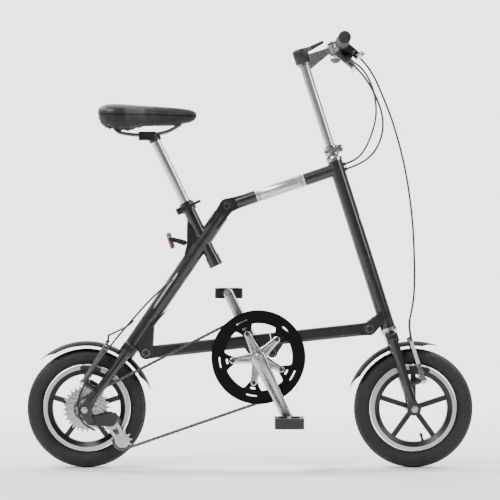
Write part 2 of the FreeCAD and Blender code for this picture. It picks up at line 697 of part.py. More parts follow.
def main_tube():
    """The thick diagonal tube with its ears at both hinges and the webs either side of the seat tube."""
    start = TOP_HINGE + TUBE_DOWN * 26
    wall = rod("main_tube_wall", start, TUBE_END - TUBE_DOWN * 13, "Sizes.main_tube_d / 2")
    pieces = [wall]
    for side, sign in SIDES.items():
        ear_end = TOP_HINGE + TUBE_DOWN * 52
        pieces.append(arm(f"top_ear_{side}", TOP_HINGE, 19, ear_end, 15, 14.9 * sign, 6.6))
    webs = [[(-118, 560), (-112, 579), (-160, 640), (-161, 566), (-178, 500)],
            [(-124, 570), (-146, 622), (-120, 606), (-96, 616), (-100, 600)]]
    for number, web in enumerate(webs):
        pieces.append(plate(f"seat_web_{number}", V(0, 0, 0), 9, web))
    lug = [(-205, 404), (-243, 362), (-247, 292), (-262, 276), (-281, 290), (-296, 316), (-288, 340)]
    for side, sign in SIDES.items():
        y = sign * (size("ear_gap") + size("ear_wall")) / 2
        pieces.append(plate(f"lower_lug_{side}", V(0, y, 0), "Sizes.ear_wall", lug))
        half = ACROSS * (size("ear_wall") / 2)
        middle = REAR_HINGE + ACROSS * y
        pieces.append(rod(f"lower_eye_{side}", middle - half, middle + half, "17"))
    inner = "Sizes.main_tube_d / 2 - Sizes.tube_wall"
    bore = rod("main_tube_bore", start + TUBE_DOWN * 30, TUBE_END, inner)
    low = SEAT_TUBE_BOTTOM - SEAT_UP * 9
    through = rod("seat_tube_room", low, SEAT_TUBE_TOP + SEAT_UP, "Sizes.seat_tube_d / 2")
    crown_room = block("rear_crown_room", TUBE_END, 26, 118, 40, MAIN_TUBE_LEAN)
    solid = fuse("main_tube_solid", *pieces)
    part = cut("main_tube_part", solid, bore, through, crown_room, pivot_bore("lower_pivot_bore", REAR_HINGE))
    return node("main_tube", part)


def seat_tube():
    """The seat tube with its thicker lower end."""
    low = SEAT_TUBE_BOTTOM - SEAT_UP * 2
    wall = rod("seat_tube_wall", low, SEAT_TUBE_TOP, "Sizes.seat_tube_d / 2")
    end = rod("seat_tube_end", low, low + SEAT_UP * 28, "Sizes.seat_tube_d / 2 + 2")
    bore = rod("seat_tube_bore", low - SEAT_UP, SEAT_TUBE_TOP + SEAT_UP, "Sizes.seat_tube_bore / 2")
    return node("seat_tube", cut("seat_tube_part", fuse("seat_tube_solid", wall, end), bore))


def rear_stays():
    """The crown behind the main tube, two tapered stays, the wheel ends and the brake studs."""
    crown = rounded("rear_crown", block("rear_crown_block", TUBE_END, 26, 118, 40, MAIN_TUBE_LEAN), 9,
                    lambda edge: edge.Length < 41)
    pieces = [crown]
    ends = REAR_AXLE - TUBE_DOWN * 24
    for side, sign in SIDES.items():
        top = TUBE_END + ACROSS * sign * 46
        pieces.append(taper(f"stay_{side}", top, ends + ACROSS * sign * 66, 13, 9.5))
        pieces.append(arm(f"rear_end_{side}", REAR_AXLE, 15, REAR_AXLE - TUBE_DOWN * 45, 9, 68 * sign, 6))
        stud = BRAKE_REAR + ACROSS * sign * REAR_BRAKE_Y
        root = stud - REAR_BRAKE_BACK * 44
        pieces.append(rod(f"rear_boss_{side}", root, stud - REAR_BRAKE_BACK * 8, "Sizes.brake_boss_d / 2"))
        pieces.append(rod(f"rear_stud_{side}", root, stud + REAR_BRAKE_BACK * 9, "Sizes.brake_stud_d / 2"))
    pieces.append(arm("hanger", REAR_AXLE, 14, HANGER, 9, -68, 6))
    return node("rear_stays", cut("rear_stays_part", fuse("rear_stays_solid", *pieces),
                                  wheel_slot("rear_axle_bore", REAR_AXLE)))


def seat_clamp():
    """The collar at the seat tube's top and its quick release."""
    centre = SEAT_TUBE_TOP - SEAT_UP * 10
    back = V(-SEAT_UP.z, 0, SEAT_UP.x)
    collar = collar_with_lug("seat_collar", centre, SEAT_UP, back, 20.5, 15.95, 21)
    pivot = centre + back * 25 - ACROSS * 28.5
    yoke = skewer_and_yoke("seat", pivot, SEAT_UP, back)
    node("seat_clamp", fuse("seat_clamp_whole", collar, *yoke))
    quick_release_lever("seat_clamp_lever", pivot, SEAT_UP, -back, 58)


def seat_post():
    """The shim that turns in the seat tube, and the post that slides in the shim."""
    outline = [(13.7, -80), (14.7, -80), (14.7, 1.5), (17.5, 1.5), (17.5, 4), (13.7, 4)]
    node("seat_shim", turned("seat_shim_part", SEAT_TUBE_TOP, outline, axis=SEAT_UP))
    low = POST_TOP - SEAT_UP * size("seat_post_length")
    outer = "Sizes.seat_post_d / 2"
    node("seat_post", tube("seat_post_part", low, POST_TOP, outer, outer + " - Sizes.tube_wall"))


def saddle():
    """The clamp with its pair of rails, and the padded shell above."""
    clamp = rounded("saddle_clamp_body", block("saddle_clamp_block", POST_TOP + at(-16, 3), 44, 52, 22), 5,
                    lambda edge: edge.Length < 30)
    neck = rod("saddle_neck", POST_TOP - SEAT_UP * 11, POST_TOP, "Sizes.seat_post_d / 2 + 3")
    room = rod("saddle_neck_room", POST_TOP - SEAT_UP * 20, POST_TOP, "Sizes.seat_post_d / 2")
    whole = fuse("saddle_clamp_solid", clamp, neck)
    rails = []
    for side, sign in SIDES.items():
        route = [at(-350, 871, 30 * sign), at(-338, 852, 26 * sign), at(-300, 845, 22 * sign),
                 at(-248, 845, 22 * sign), at(-210, 852, 21 * sign), at(-176, 872, 14 * sign)]
        rails.append(swept(f"saddle_rail_{side}", route, 7))
    grooves = [rod(f"rail_groove_{side}", at(-300, 845, 22 * sign), at(-230, 845, 22 * sign), "3.5")
               for side, sign in SIDES.items()]
    part = cut("saddle_clamp_part", whole, room, *grooves)
    node("saddle_clamp", group("saddle_clamp_group", part, *rails))
    sections = []
    for x, z, half_width, half_depth in ((-390, 894, 50, 18), (-365, 897, 76, 22), (-315, 895, 74, 25),
                                         (-265, 899, 42, 20), (-215, 897, 24, 17), (-155, 892, 17, 17),
                                         (-132, 889, 12, 12)):
        ellipse = doc.addObject("Part::Ellipse", f"saddle_section_{len(sections)}")
        ellipse.MajorRadius = half_width
        ellipse.MinorRadius = half_depth
        facing_ahead = FreeCAD.Rotation(ACROSS, V(0, 0, 1), V(1, 0, 0), "XYZ")
        ellipse.Placement = FreeCAD.Placement(at(x, z), facing_ahead)
        sections.append(ellipse)
    pad = doc.addObject("Part::Loft", "saddle_pad")
    pad.Sections = sections
    pad.Solid = True
    node("saddle", pad)


def reflector():
    """A round red reflector in its housing, on an arm behind the main tube."""
    centre = at(-196, 578)
    outline = [(0, 0), (19, 0), (22, 3), (22, 9), (20, 12), (0, 12)]
    lamp = turned("reflector_lens", centre, outline, axis=ray(198))
    bracket = arm("reflector_arm", centre - ray(198, 2), 6, at(-167.8, 571), 7, 0, 6)
    node("reflector", fuse("reflector_part", lamp, bracket))


# The two lower links, joined to each other at the middle hinge

def link_bar(name, start, end):
    """A hollow bar with rounded edges and its depth across the link's line."""
    along = (end - start).normalize()
    lean = math.degrees(math.atan2(along.z, along.x))
    middle = (start + end) / 2
    length = (end - start).Length
    bar = block(name + "_block", middle, length, size("link_width"), size("link_depth"), lean)
    smooth = rounded(name + "_smooth", bar, 7, lambda edge: edge.Length > size("link_width") + 20)
    walls = 2 * size("link_wall")
    width = size("link_width") - walls
    inner = block(name + "_inner", middle, length - 2 * walls, width, size("link_depth") - walls, lean)
    return cut(name + "_hollow", smooth, inner)


def links():
    """Rear link with the bottom bracket shell, front link, and the pins at the rear link's ends."""
    middle_top = REAR_HINGE + LINK_AHEAD * (MID_HINGE - REAR_HINGE).dot(LINK_AHEAD)
    eye = "Sizes.eye_width"
    bar = link_bar("rear_link_bar", REAR_HINGE + LINK_AHEAD * 34, middle_top - LINK_AHEAD * 0.6)
    pieces = [bar, arm("rear_link_eye", REAR_HINGE, 16.5, REAR_HINGE + LINK_AHEAD * 44, 15, 0, eye)]
    ear_end = middle_top - LINK_AHEAD * 20
    pieces += ears("mid_ears", MID_HINGE, 14, ear_end, 15)
    shell = rod("shell", BOTTOM_BRACKET - ACROSS * 34, BOTTOM_BRACKET + ACROSS * 34, "21")
    saddle_web = plate("shell_web", V(0, 0, 0), 34, [(-20, 312), (0, 284), (42, 284), (44, 318)])
    pieces += [shell, saddle_web]
    shell_bore = rod("shell_bore", BOTTOM_BRACKET - ACROSS * 36, BOTTOM_BRACKET + ACROSS * 36, "16.5")
    sweep_room = rod("tongue_sweep", MID_HINGE - ACROSS * 13.3, MID_HINGE + ACROSS * 13.3, "17.5")
    tongue_end = middle_top + LINK_AHEAD * 26 - LINK_UP * 2
    tongue_room = arm("tongue_room", MID_HINGE, 14.6, tongue_end, 13.6, 0, "Sizes.ear_gap")
    bores = [shell_bore, pivot_bore("rear_link_mid_bore", MID_HINGE)]
    bores.append(pivot_bore("rear_link_bore", REAR_HINGE))
    solid = fuse("rear_link_solid", *pieces)
    node("rear_link", cut("rear_link_part", solid, sweep_room, tongue_room, *bores))
    bar = link_bar("front_link_bar", middle_top + LINK_AHEAD * 0.6, FRONT_HINGE - LINK_AHEAD * 24)
    pieces = [bar, arm("front_link_eye", FRONT_HINGE, 16.5, FRONT_HINGE - LINK_AHEAD * 44, 15, 0, eye)]
    pieces.append(arm("mid_tongue", MID_HINGE, 12.6, tongue_end, 12, 0, eye))
    ear_room = []
    for side, sign in SIDES.items():
        near = MID_HINGE + ACROSS * sign * 13.1
        ear_room.append(rod(f"ear_sweep_{side}", near, near + ACROSS * sign * 11, "15"))
        ear_room.append(arm(f"ear_room_{side}", MID_HINGE, 14.6, ear_end, 15.6, sign * 18.6, 11))
    bores = [pivot_bore("front_link_mid_bore", MID_HINGE), pivot_bore("front_link_bore", FRONT_HINGE)]
    node("front_link", cut("front_link_part", fuse("front_link_solid", *pieces), *ear_room, *bores))
    pins = []
    for name, pivot in (("rear", REAR_HINGE), ("mid", MID_HINGE)):
        shaft = rod(f"{name}_pin", pivot - ACROSS * 20, pivot + ACROSS * 20, "Sizes.pin_d / 2")
        caps = [rod(f"{name}_cap_{side}", pivot + ACROSS * sign * 19, pivot + ACROSS * sign * 23, "9.5")
                for side, sign in SIDES.items()]
        pins.append(fuse(f"{name}_pin_whole", shaft, *caps))
    node("link_pins", group("link_pins_group", *pins))
    cups = []
    for side, sign in SIDES.items():
        face = BOTTOM_BRACKET + ACROSS * sign * 34
        cup = tube(f"cup_{side}", face, face + ACROSS * sign * 6, "20", "8.6")
        race = tube(f"race_{side}", face - ACROSS * sign * 14, face, "16.5", "8.6")
        cups.append(fuse(f"cup_and_race_{side}", cup, race))
    node("bottom_bracket", group("bottom_bracket_group", *cups))


# Drive: crankset, pedals, cassette, derailleur and chain

def toothed_disc(name, centre, y, teeth, phase, thickness, inner_radius):
    """A sprocket whose teeth stand between the chain's rollers; phase is the angle of one roller."""
    pitch_radius = size("chain_pitch") / 2 / math.sin(math.pi / teeth)
    root = pitch_radius - 4.2
    tip = pitch_radius + 3.2
    step = 360 / teeth
    corners = []
    for tooth in range(teeth):
        middle = phase + step * (tooth + 0.5)
        for radius, share in ((root, -0.3), (tip, -0.08), (tip, 0.08), (root, 0.3)):
            corners.append(centre + ray(middle + share * step, radius) + ACROSS * (y - thickness / 2))
    face = Part.Face(Part.makePolygon(corners + corners[:1]))
    disc = face.extrude(ACROSS * thickness)
    if disc.Volume < 0:
        disc.reverse()
    bore = Part.makeCylinder(inner_radius, thickness + 2, centre + ACROSS * (y - thickness / 2 - 1), ACROSS)
    return free_solid(name, disc.cut(bore))


def belt(wheels, offset=0.0):
    """Tangent points and arcs of the chain's line round its wheels, in the order that it travels.

    Each wheel is (centre, radius, sense), with sense 1 where the chain runs round it anticlockwise.
    """
    runs = []
    for (a, radius_a, sense_a), (b, radius_b, sense_b) in zip(wheels, wheels[1:] + wheels[:1]):
        reach = b - a
        shift = sense_b * radius_b - sense_a * radius_a
        angle = math.atan2(reach.z, reach.x) - math.asin(shift / math.hypot(reach.x, reach.z))
        left = V(-math.sin(angle), 0, math.cos(angle))
        runs.append((a - left * (sense_a * radius_a - offset), b - left * (sense_b * radius_b - offset)))
    edges = []
    for number, (start, end) in enumerate(runs):
        centre, radius, sense = wheels[(number + 1) % len(wheels)]
        leaving = runs[(number + 1) % len(runs)][0]
        first = math.atan2(end.z - centre.z, end.x - centre.x)
        last = math.atan2(leaving.z - centre.z, leaving.x - centre.x)
        turn = (last - first) * sense % (2 * math.pi)
        middle = centre + ray(math.degrees(first + sense * turn / 2), radius - sense * offset)
        edges.append(Part.LineSegment(start, end).toShape())
        edges.append(Part.Arc(end, middle, leaving).toShape())
    return Part.Wire(edges), runs


def chain_wheels():
    """The circles that the chain runs round: chainring, tension pulley, guide pulley and sprocket."""
    pitch = size("chain_pitch")

    def radius(teeth):
        return pitch / 2 / math.sin(math.pi / teeth)

    return [(BOTTOM_BRACKET, radius(size("ring_teeth")), -1), (TENSION_PULLEY, radius(11), -1),
            (GUIDE_PULLEY, radius(11), 1), (REAR_AXLE, radius(13), -1)]


def roller_angle(centre, point):
    return math.degrees(math.atan2(point.z - centre.z, point.x - centre.x))


def chain_and_sprockets():
    """The chain as two plate bands with rollers between, and every toothed wheel that it runs on."""
    wheels = chain_wheels()
    line, runs = belt(wheels)
    y = -size("chain_line")
    count = round(line.Length / size("chain_pitch"))
    bands = []
    for side, sign in SIDES.items():
        loops = [belt(wheels, offset)[0] for offset in (4.1, -4.1)]
        loops.sort(key=lambda loop: loop.Length, reverse=True)
        face = Part.makeFace(loops, "Part::FaceMakerBullseye")
        band = face.extrude(ACROSS * 1.6)
        band.translate(ACROSS * (y + sign * 2.6 - 0.8))
        bands.append(free_solid(f"chain_band_{side}", band))
    rollers = []
    stations = line.discretize(Number=count + 1)[:-1]
    for number, station in enumerate(stations):
        shape = Part.makeCylinder(3.5, 3.4, station + ACROSS * (y - 1.7), ACROSS)
        rollers.append(shape)
    links = Part.makeCompound(rollers)
    node("chain", group("chain_group", *bands, free_solid("chain_rollers", links)))
    near = {}
    for name, (centre, radius, _) in zip(("ring", "tension", "guide", "cog"), wheels):
        touching = [station for station in stations if abs((station - centre).Length - radius) < 0.02]
        near[name] = roller_angle(centre, touching[len(touching) // 2])
    print(f"chain: {count} rollers, pitch {line.Length / count:.3f} mm")
    return near


def cassette(phase):
    """Seven sprockets on their carrier, the second smallest in the chain's line."""
    cogs = []
    for number, teeth in enumerate(COG_TEETH):
        y = -size("chain_line") + COG_SPACING * (number - 1)
        cogs.append(toothed_disc(f"cog_{teeth}", REAR_AXLE, y, teeth, phase, 1.8, 12))
    carrier = tube("cassette_carrier", REAR_AXLE - ACROSS * 51, REAR_AXLE - ACROSS * 20, "16", "12")
    node("cassette", fuse("cassette_part", carrier, *cogs))


def derailleur(phases):
    """The body on its hanger bolt, and the cage with its two toothed pulleys."""
    pieces = [arm("derailleur_arm", HANGER, 10, GUIDE_PULLEY + at(0, 6), 17, -60.5, 8.6)]
    pieces.append(rod("cage_pivot", GUIDE_PULLEY - ACROSS * 60, GUIDE_PULLEY - ACROSS * 52.2, "8"))
    node("derailleur_body", fuse("derailleur_body_part", *pieces))
    y = -size("chain_line")
    sheets = []
    for side, offset in (("outer", -6.2), ("inner", 6.2)):
        window_start = GUIDE_PULLEY * 0.66 + TENSION_PULLEY * 0.34
        window_end = GUIDE_PULLEY * 0.34 + TENSION_PULLEY * 0.66
        ends = [(pulley.x, pulley.z) for pulley in (GUIDE_PULLEY, TENSION_PULLEY)]
        outline = arm_outline(ends[0], 15, ends[1], 14)
        window = arm_outline((window_start.x, window_start.z), 6, (window_end.x, window_end.z), 5.9)
        sheets.append(plate(f"cage_{side}", V(0, y + offset, 0), 1.5, outline, window))
    bolts = []
    for name, pulley in (("guide", GUIDE_PULLEY), ("tension", TENSION_PULLEY)):
        centre = pulley + ACROSS * y
        disc = toothed_disc(f"pulley_{name}", pulley, y, 11, phases[name], 2, 3)
        hub = rod(f"pulley_hub_{name}", centre - ACROSS * 6, centre + ACROSS * 6, "5")
        bolts.append(fuse(f"pulley_whole_{name}", disc, hub))
    node("derailleur_cage", fuse("derailleur_cage_part", *sheets, *bolts))


def spider_ray(number, length):
    """A point of one of the spider's five arms, at a distance from the crank's axis."""
    return BOTTOM_BRACKET + ray(43.8 + 72 * number, length)


def chainring_bolt_holes(name):
    holes = []
    for number in range(5):
        centre = spider_ray(number, size("bolt_circle"))
        holes.append(rod(f"{name}_{number}", centre - ACROSS * 60, centre - ACROSS * 40, "4"))
    return holes


def bolted_tabs(name, reach, y, thickness):
    """Five tabs that run in from a ring to the bolts of the spider."""
    tabs = []
    for number in range(5):
        bolt = spider_ray(number, size("bolt_circle"))
        tabs.append(arm(f"{name}_{number}", bolt, 9, spider_ray(number, reach), 14, y, thickness))
    return tabs


def crankset(phase):
    """Spindle, the two cranks, the chainring on the right crank's spider and its guard."""
    y = -size("chain_line")
    centre = BOTTOM_BRACKET
    spindle = rod("spindle_shaft", centre - ACROSS * 72, centre + ACROSS * 72, "Sizes.spindle_d / 2")
    bolts = [rod(f"crank_bolt_{side}", centre + ACROSS * sign * 71, centre + ACROSS * sign * 75, "11")
             for side, sign in SIDES.items()]
    node("crank_spindle", fuse("crank_spindle_part", spindle, *bolts))
    angle = size("crank_angle")
    room = rod("spindle_room", centre - ACROSS * 80, centre + ACROSS * 80, "Sizes.spindle_d / 2")
    for side, sign in SIDES.items():
        end = centre + ray(angle + (180 if side == "left" else 0), size("crank_length"))
        pieces = [arm(f"crank_{side}_arm", centre, 19, end, 13, 64.5 * sign, 13)]
        if side == "right":
            for number in range(5):
                tip = spider_ray(number, size("bolt_circle"))
                pieces.append(arm(f"spider_{number}", centre, 17, tip, 8, -55, 6))
                pieces.append(rod(f"chainring_bolt_{number}", tip - ACROSS * 60, tip - ACROSS * 41.5, "4"))
        hole = rod(f"pedal_hole_{side}", end + ACROSS * sign * 50, end + ACROSS * sign * 80, "7.5")
        node(f"crank_{side}", cut(f"crank_{side}_part", fuse(f"crank_{side}_solid", *pieces), room, hole))
        pedal(side, sign, end)
    teeth = toothed_disc("ring_teeth_disc", centre, y, int(size("ring_teeth")), phase, 2.4, 86)
    whole = fuse("chainring_solid", teeth, *bolted_tabs("ring_tab", 90, y, 2.4))
    node("chainring", cut("chainring_part", whole, *chainring_bolt_holes("ring_hole")))
    guard_face = centre - ACROSS * 52
    disc = tube("guard_disc", guard_face, guard_face + ACROSS * 2, "Sizes.chain_guard_d / 2", "89")
    whole = fuse("chain_guard_solid", disc, *bolted_tabs("guard_tab", 92, -51, 2))
    node("chain_guard", cut("chain_guard_part", whole, *chainring_bolt_holes("guard_hole")))


def pedal(side, sign, centre):
    """A folding pedal: the sleeve that turns on its stub axle, and the platform hinged to the sleeve."""
    def out(distance):
        return centre + ACROSS * sign * distance

    stub = rod(f"pedal_stub_{side}", out(58), out(74), "7.4")
    body = rod(f"pedal_body_{side}", out(71.4), out(78), "13")
    hinge = out(92)
    reach = at(30, 0)
    leaf = block(f"pedal_leaf_{side}", out(84.5), 40, 15, 9)
    pin = rod(f"pedal_pin_{side}", hinge - reach, hinge + reach, "3")
    knuckle = rod(f"pedal_knuckle_{side}", hinge - at(20, 0), hinge + at(20, 0), "5")
    node(f"pedal_sleeve_{side}", fuse(f"pedal_sleeve_part_{side}", stub, body, leaf, knuckle, pin))
    length = size("pedal_length")
    width = size("pedal_width")
    depth = size("pedal_depth")
    slab = block(f"pedal_slab_{side}", out(98 + width / 2), length, width, depth)
    smooth = rounded(f"pedal_smooth_{side}", slab, 6, lambda edge: abs(edge.Length - depth) < 0.1)
    windows = []
    for way in (-1, 1):
        middle = out(98 + width / 2) + at(15.5 * way, 0)
        window = block(f"pedal_window_{side}_{way}", middle, 21, width - 26, depth + 4)
        upright = lambda edge: abs(edge.Length - depth - 4) < 0.1
        windows.append(rounded(f"pedal_opening_{side}_{way}", window, 4, upright))
    lugs = []
    for way in (-1, 1):
        lug_x = at(25.4 * way, 0)
        lug = block(f"pedal_lug_{side}_{way}", out(95.5) + lug_x, 10, 15, 10)
        lugs.append(lug)
    hole = rod(f"pedal_pin_hole_{side}", hinge - at(34, 0), hinge + at(34, 0), "3.1")
    solid = cut(f"pedal_windows_{side}", smooth, *windows)
    whole = fuse(f"pedal_solid_{side}", solid, *lugs)
    node(f"pedal_platform_{side}", cut(f"pedal_platform_part_{side}", whole, hole))


# Cables

def cables():
    """The two brake cables and the shift cable, each whole along the stretches outside the frame."""
    _, right_lever, right_way = barrel_line(SIDES["right"])
    _, left_lever, left_way = barrel_line(SIDES["left"])
    port_low = HEAD_BOTTOM + STEER_UP * 417 + STEER_AHEAD * 24
    port_high = HEAD_BOTTOM + STEER_UP * 430 + STEER_AHEAD * 24
    front = [right_lever, right_lever + right_way * 36, at(311, 994, -52), at(334, 945, -34),
             at(357, 890, -26), at(375, 832, -24), at(390, 772, -24), at(401, 712, -24), at(409, 652, -24),
             at(414, 592, -24), at(416, 532, -24), at(417, 474, -25), at(414, 420, -27), at(404, 376, -30)]
    node("front_brake_cable", swept("front_brake_cable_tube", front, size("cable_d")))
    rear = [left_lever, left_lever + left_way * 36, at(306, 994, 54), at(320, 950, 38), at(324, 900, 26),
            at(312, 850, 15), at(292, 806, 6), port_high + STEER_AHEAD * 26, port_high]
    back = [at(-298, 372, 26), at(-312, 358, 30), at(-336, 346, 32), at(-362, 334, 34)]
    runs = [swept("rear_brake_cable_front", rear, size("cable_d"))]
    runs.append(swept("rear_brake_cable_rear", back, size("cable_d")))
    node("rear_brake_cable", group("rear_brake_cable_group", *runs))
    shift = [at(229, 1040, -101), at(243, 1031, -81), at(264, 1014, -64), at(293, 983, -54),
             at(318, 940, -46), at(336, 892, -38), at(336, 844, -26), at(316, 798, -13),
             port_low + STEER_AHEAD * 34, port_low]
    rear_shift = [at(-196, 478, -25), at(-240, 440, -30), at(-290, 385, -44), at(-345, 320, -62),
                  at(-400, 245, -80), at(-428, 190, -82), at(-432, 148, -82), at(-416, 112, -79),
                  at(-388, 100, -73)]
    runs = [swept("shift_cable_front", shift, size("cable_d"))]
    runs.append(swept("shift_cable_rear", rear_shift, size("cable_d")))
    node("shift_cable", group("shift_cable_group", *runs))


def build():
    """Every sub-part of the bicycle, from the front frame to the cables."""
    head_tube()
    top_tube()
    headset()
    frame_hinge_pins()
    fork()
    steering_collar()
    mudguard("front_mudguard", FRONT_AXLE, 68.8, 162.3, "Sizes.front_guard_sweep", 107.5, 175.3)
    mudguard("rear_mudguard", REAR_AXLE, 16.2, 133.5, "Sizes.rear_guard_sweep", 53.9, 171.5)
    wheel_axle("front_axle", FRONT_AXLE, 43, 49, 66)
    wheel_axle("rear_axle", REAR_AXLE, 20, 71, 88)
    wheel("front_wheel", FRONT_AXLE, 38, 38)
    wheel("rear_wheel", REAR_AXLE, 58, 18)
    tyre("front_tyre", FRONT_AXLE)
    tyre("rear_tyre", REAR_AXLE)
    for side, sign in SIDES.items():
        brake_arm(f"front_brake_arm_{side}", FRONT_AXLE, BRAKE_FRONT, STEER_UP, FRONT_BRAKE_Y, sign)
        brake_arm(f"rear_brake_arm_{side}", REAR_AXLE, BRAKE_REAR, REAR_BRAKE_UP, REAR_BRAKE_Y, sign)
        handlebar_side(side, sign)
    stem()
    main_tube()
    seat_tube()
    rear_stays()
    seat_clamp()
    seat_post()
    saddle()
    reflector()
    links()
    phases = chain_and_sprockets()
    cassette(phases["cog"])
    derailleur(phases)
    crankset(phases["ring"])
    cables()


def export():
    """Writes each sub-part's file once every object of the document is sound."""
    doc.recompute()
    for thing in doc.Objects:
        if {"Invalid", "Error"} & set(thing.State):
            raise RuntimeError(f"{thing.Label} is not sound")
    for piece in nodes:
        if piece.Shape.isNull() or not piece.Shape.isValid():
            raise RuntimeError(f"{piece.Label} has no sound shape")
    os.makedirs("parts", exist_ok=True)
    for piece in nodes:
        piece.Shape.exportStep(f"parts/{piece.Label}.step")
        print(f"{piece.Label}: {len(piece.Shape.Solids)} solids, {piece.Shape.Volume / 1000:.1f} cm3")
    print(f"{len(nodes)} sub-parts")


build()
export()
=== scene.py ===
# %% [markdown]
# # A folding bicycle around its fixed frame
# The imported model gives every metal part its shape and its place. This lesson keeps those parts where they
# are, gives each one its finish, and models what a plain solid can't show: tyres with a tread, a padded
# saddle, ribbed grips, a chain of separate plates, and the cables with their fittings.

import json
import math

import bmesh
import bpy
from mathutils import Matrix, Vector


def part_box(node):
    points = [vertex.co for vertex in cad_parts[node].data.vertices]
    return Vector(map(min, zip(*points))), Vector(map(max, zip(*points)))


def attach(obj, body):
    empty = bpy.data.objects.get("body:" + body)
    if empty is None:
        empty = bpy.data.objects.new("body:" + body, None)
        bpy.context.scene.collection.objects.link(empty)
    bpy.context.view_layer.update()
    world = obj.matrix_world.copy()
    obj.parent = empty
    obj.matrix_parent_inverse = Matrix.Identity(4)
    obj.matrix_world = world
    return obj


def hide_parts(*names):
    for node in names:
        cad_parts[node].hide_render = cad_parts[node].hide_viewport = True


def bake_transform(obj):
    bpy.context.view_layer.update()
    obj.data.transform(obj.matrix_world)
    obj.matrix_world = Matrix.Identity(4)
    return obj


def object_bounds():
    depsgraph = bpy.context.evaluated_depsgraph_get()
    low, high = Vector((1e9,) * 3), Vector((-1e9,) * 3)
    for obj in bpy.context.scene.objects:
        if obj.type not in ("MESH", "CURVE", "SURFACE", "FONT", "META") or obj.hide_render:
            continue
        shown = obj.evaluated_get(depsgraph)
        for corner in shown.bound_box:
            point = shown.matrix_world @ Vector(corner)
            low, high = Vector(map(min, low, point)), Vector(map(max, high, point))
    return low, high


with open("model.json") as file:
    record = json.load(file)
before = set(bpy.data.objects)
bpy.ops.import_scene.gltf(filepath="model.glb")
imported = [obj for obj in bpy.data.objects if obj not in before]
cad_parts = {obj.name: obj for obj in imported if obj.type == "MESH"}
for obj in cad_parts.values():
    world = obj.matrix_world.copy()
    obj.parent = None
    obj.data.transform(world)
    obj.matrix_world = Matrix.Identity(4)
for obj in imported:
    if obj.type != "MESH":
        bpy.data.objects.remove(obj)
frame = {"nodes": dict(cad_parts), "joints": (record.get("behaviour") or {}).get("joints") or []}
cad_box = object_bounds()
nodes = frame["nodes"]
joints = {joint["name"]: joint for joint in frame["joints"]}
MM = 0.001
SIDES = {"left": 1, "right": -1}
ACROSS = Vector((0, 1, 0))

# %% [markdown]
# Every place comes from the frame. A joint's position is the middle of its axle or pin, and its axis is the
# direction of the tube or pin that it turns about, so the whole lesson is measured from the joints.

# %% Places from the joints


def joint_at(name):
    """The middle of a joint's pin, in metres."""
    return Vector(joints[name]["pos_m"])


def joint_axis(name):
    return Vector(joints[name]["axis"]).normalized()


def ray(angle):
    """The direction at an angle in degrees, seen from the bicycle's right."""
    return Vector((math.cos(math.radians(angle)), 0, math.sin(math.radians(angle))))


def middle_plane(point):
    """The same point, moved across to the bicycle's middle plane."""
    return Vector((point.x, 0, point.z))


def place(x, z, y=0.0):
    """A point given in millimetres."""
    return Vector((x, y, z)) * MM


FRONT_AXLE = joint_at("front_wheel_spin")
REAR_AXLE = joint_at("rear_wheel_spin")
BOTTOM_BRACKET = joint_at("crank_spin")
STEER_UP = joint_axis("steering")
STEER_AHEAD = ACROSS.cross(STEER_UP)
HEAD_BOTTOM = joint_at("steering")
SEAT_UP = joint_axis("seat_turn")
print("wheelbase", round((FRONT_AXLE - REAR_AXLE).length, 3))

# %% [markdown]
# The floor is one sheet that curves up behind the bicycle, as a paper roll does in a studio, so no horizon
# shows. Large soft lights give the black tubes long quiet highlights, which is how their roundness reads.

# %% Studio


def studio_floor(half_width, depth, height, bend):
    """A pale sheet that runs back from the bicycle and curves up into a wall."""
    profile = [(-depth, 0.0), (depth - bend, 0.0)]
    for step in range(1, 13):
        angle = math.radians(90 * step / 12)
        profile.append((depth - bend + bend * math.sin(angle), bend - bend * math.cos(angle)))
    profile.append((depth, height))
    mesh = bmesh.new()
    rows = [[mesh.verts.new((x, y, z)) for x in (-half_width, half_width)] for y, z in profile]
    for low, high in zip(rows, rows[1:]):
        mesh.faces.new((low[0], low[1], high[1], high[0]))
    return finished_mesh("studio_floor", mesh)


def finished_mesh(name, mesh, smooth=True):
    """Turns a bmesh into an object, with its normals outward and its faces smooth."""
    bmesh.ops.recalc_face_normals(mesh, faces=mesh.faces)
    data = bpy.data.meshes.new(name)
    mesh.to_mesh(data)
    mesh.free()
    for polygon in data.polygons:
        polygon.use_smooth = smooth
    thing = bpy.data.objects.new(name, data)
    bpy.context.scene.collection.objects.link(thing)
    return thing


floor = studio_floor(9.0, 5.0, 6.0, 1.6)


def softbox(name, place_m, target, width, height, power):
    light = bpy.data.lights.new(name, "AREA")
    light.shape = "RECTANGLE"
    light.size = width
    light.size_y = height
    light.energy = power
    lamp = bpy.data.objects.new(name, light)
    lamp.location = place_m
    lamp.rotation_euler = (Vector(target) - Vector(place_m)).to_track_quat("-Z", "Y").to_euler()
    bpy.context.scene.collection.objects.link(lamp)


softbox("key_softbox", (-1.9, -2.0, 3.3), (0, 0, 0.5), 1.8, 1.2, 170)
softbox("fill_softbox", (2.9, -1.7, 2.3), (0, 0, 0.5), 1.0, 2.0, 60)
softbox("rim_softbox", (0.2, 1.4, 3.4), (0, 0, 0.4), 3.0, 1.2, 30)
softbox("wall_light_left", (-3.0, 1.6, 3.8), (-0.8, 5.0, 1.4), 2.4, 1.6, 420)
softbox("wall_light_right", (3.0, 1.6, 3.8), (0.8, 5.0, 1.4), 2.4, 1.6, 420)

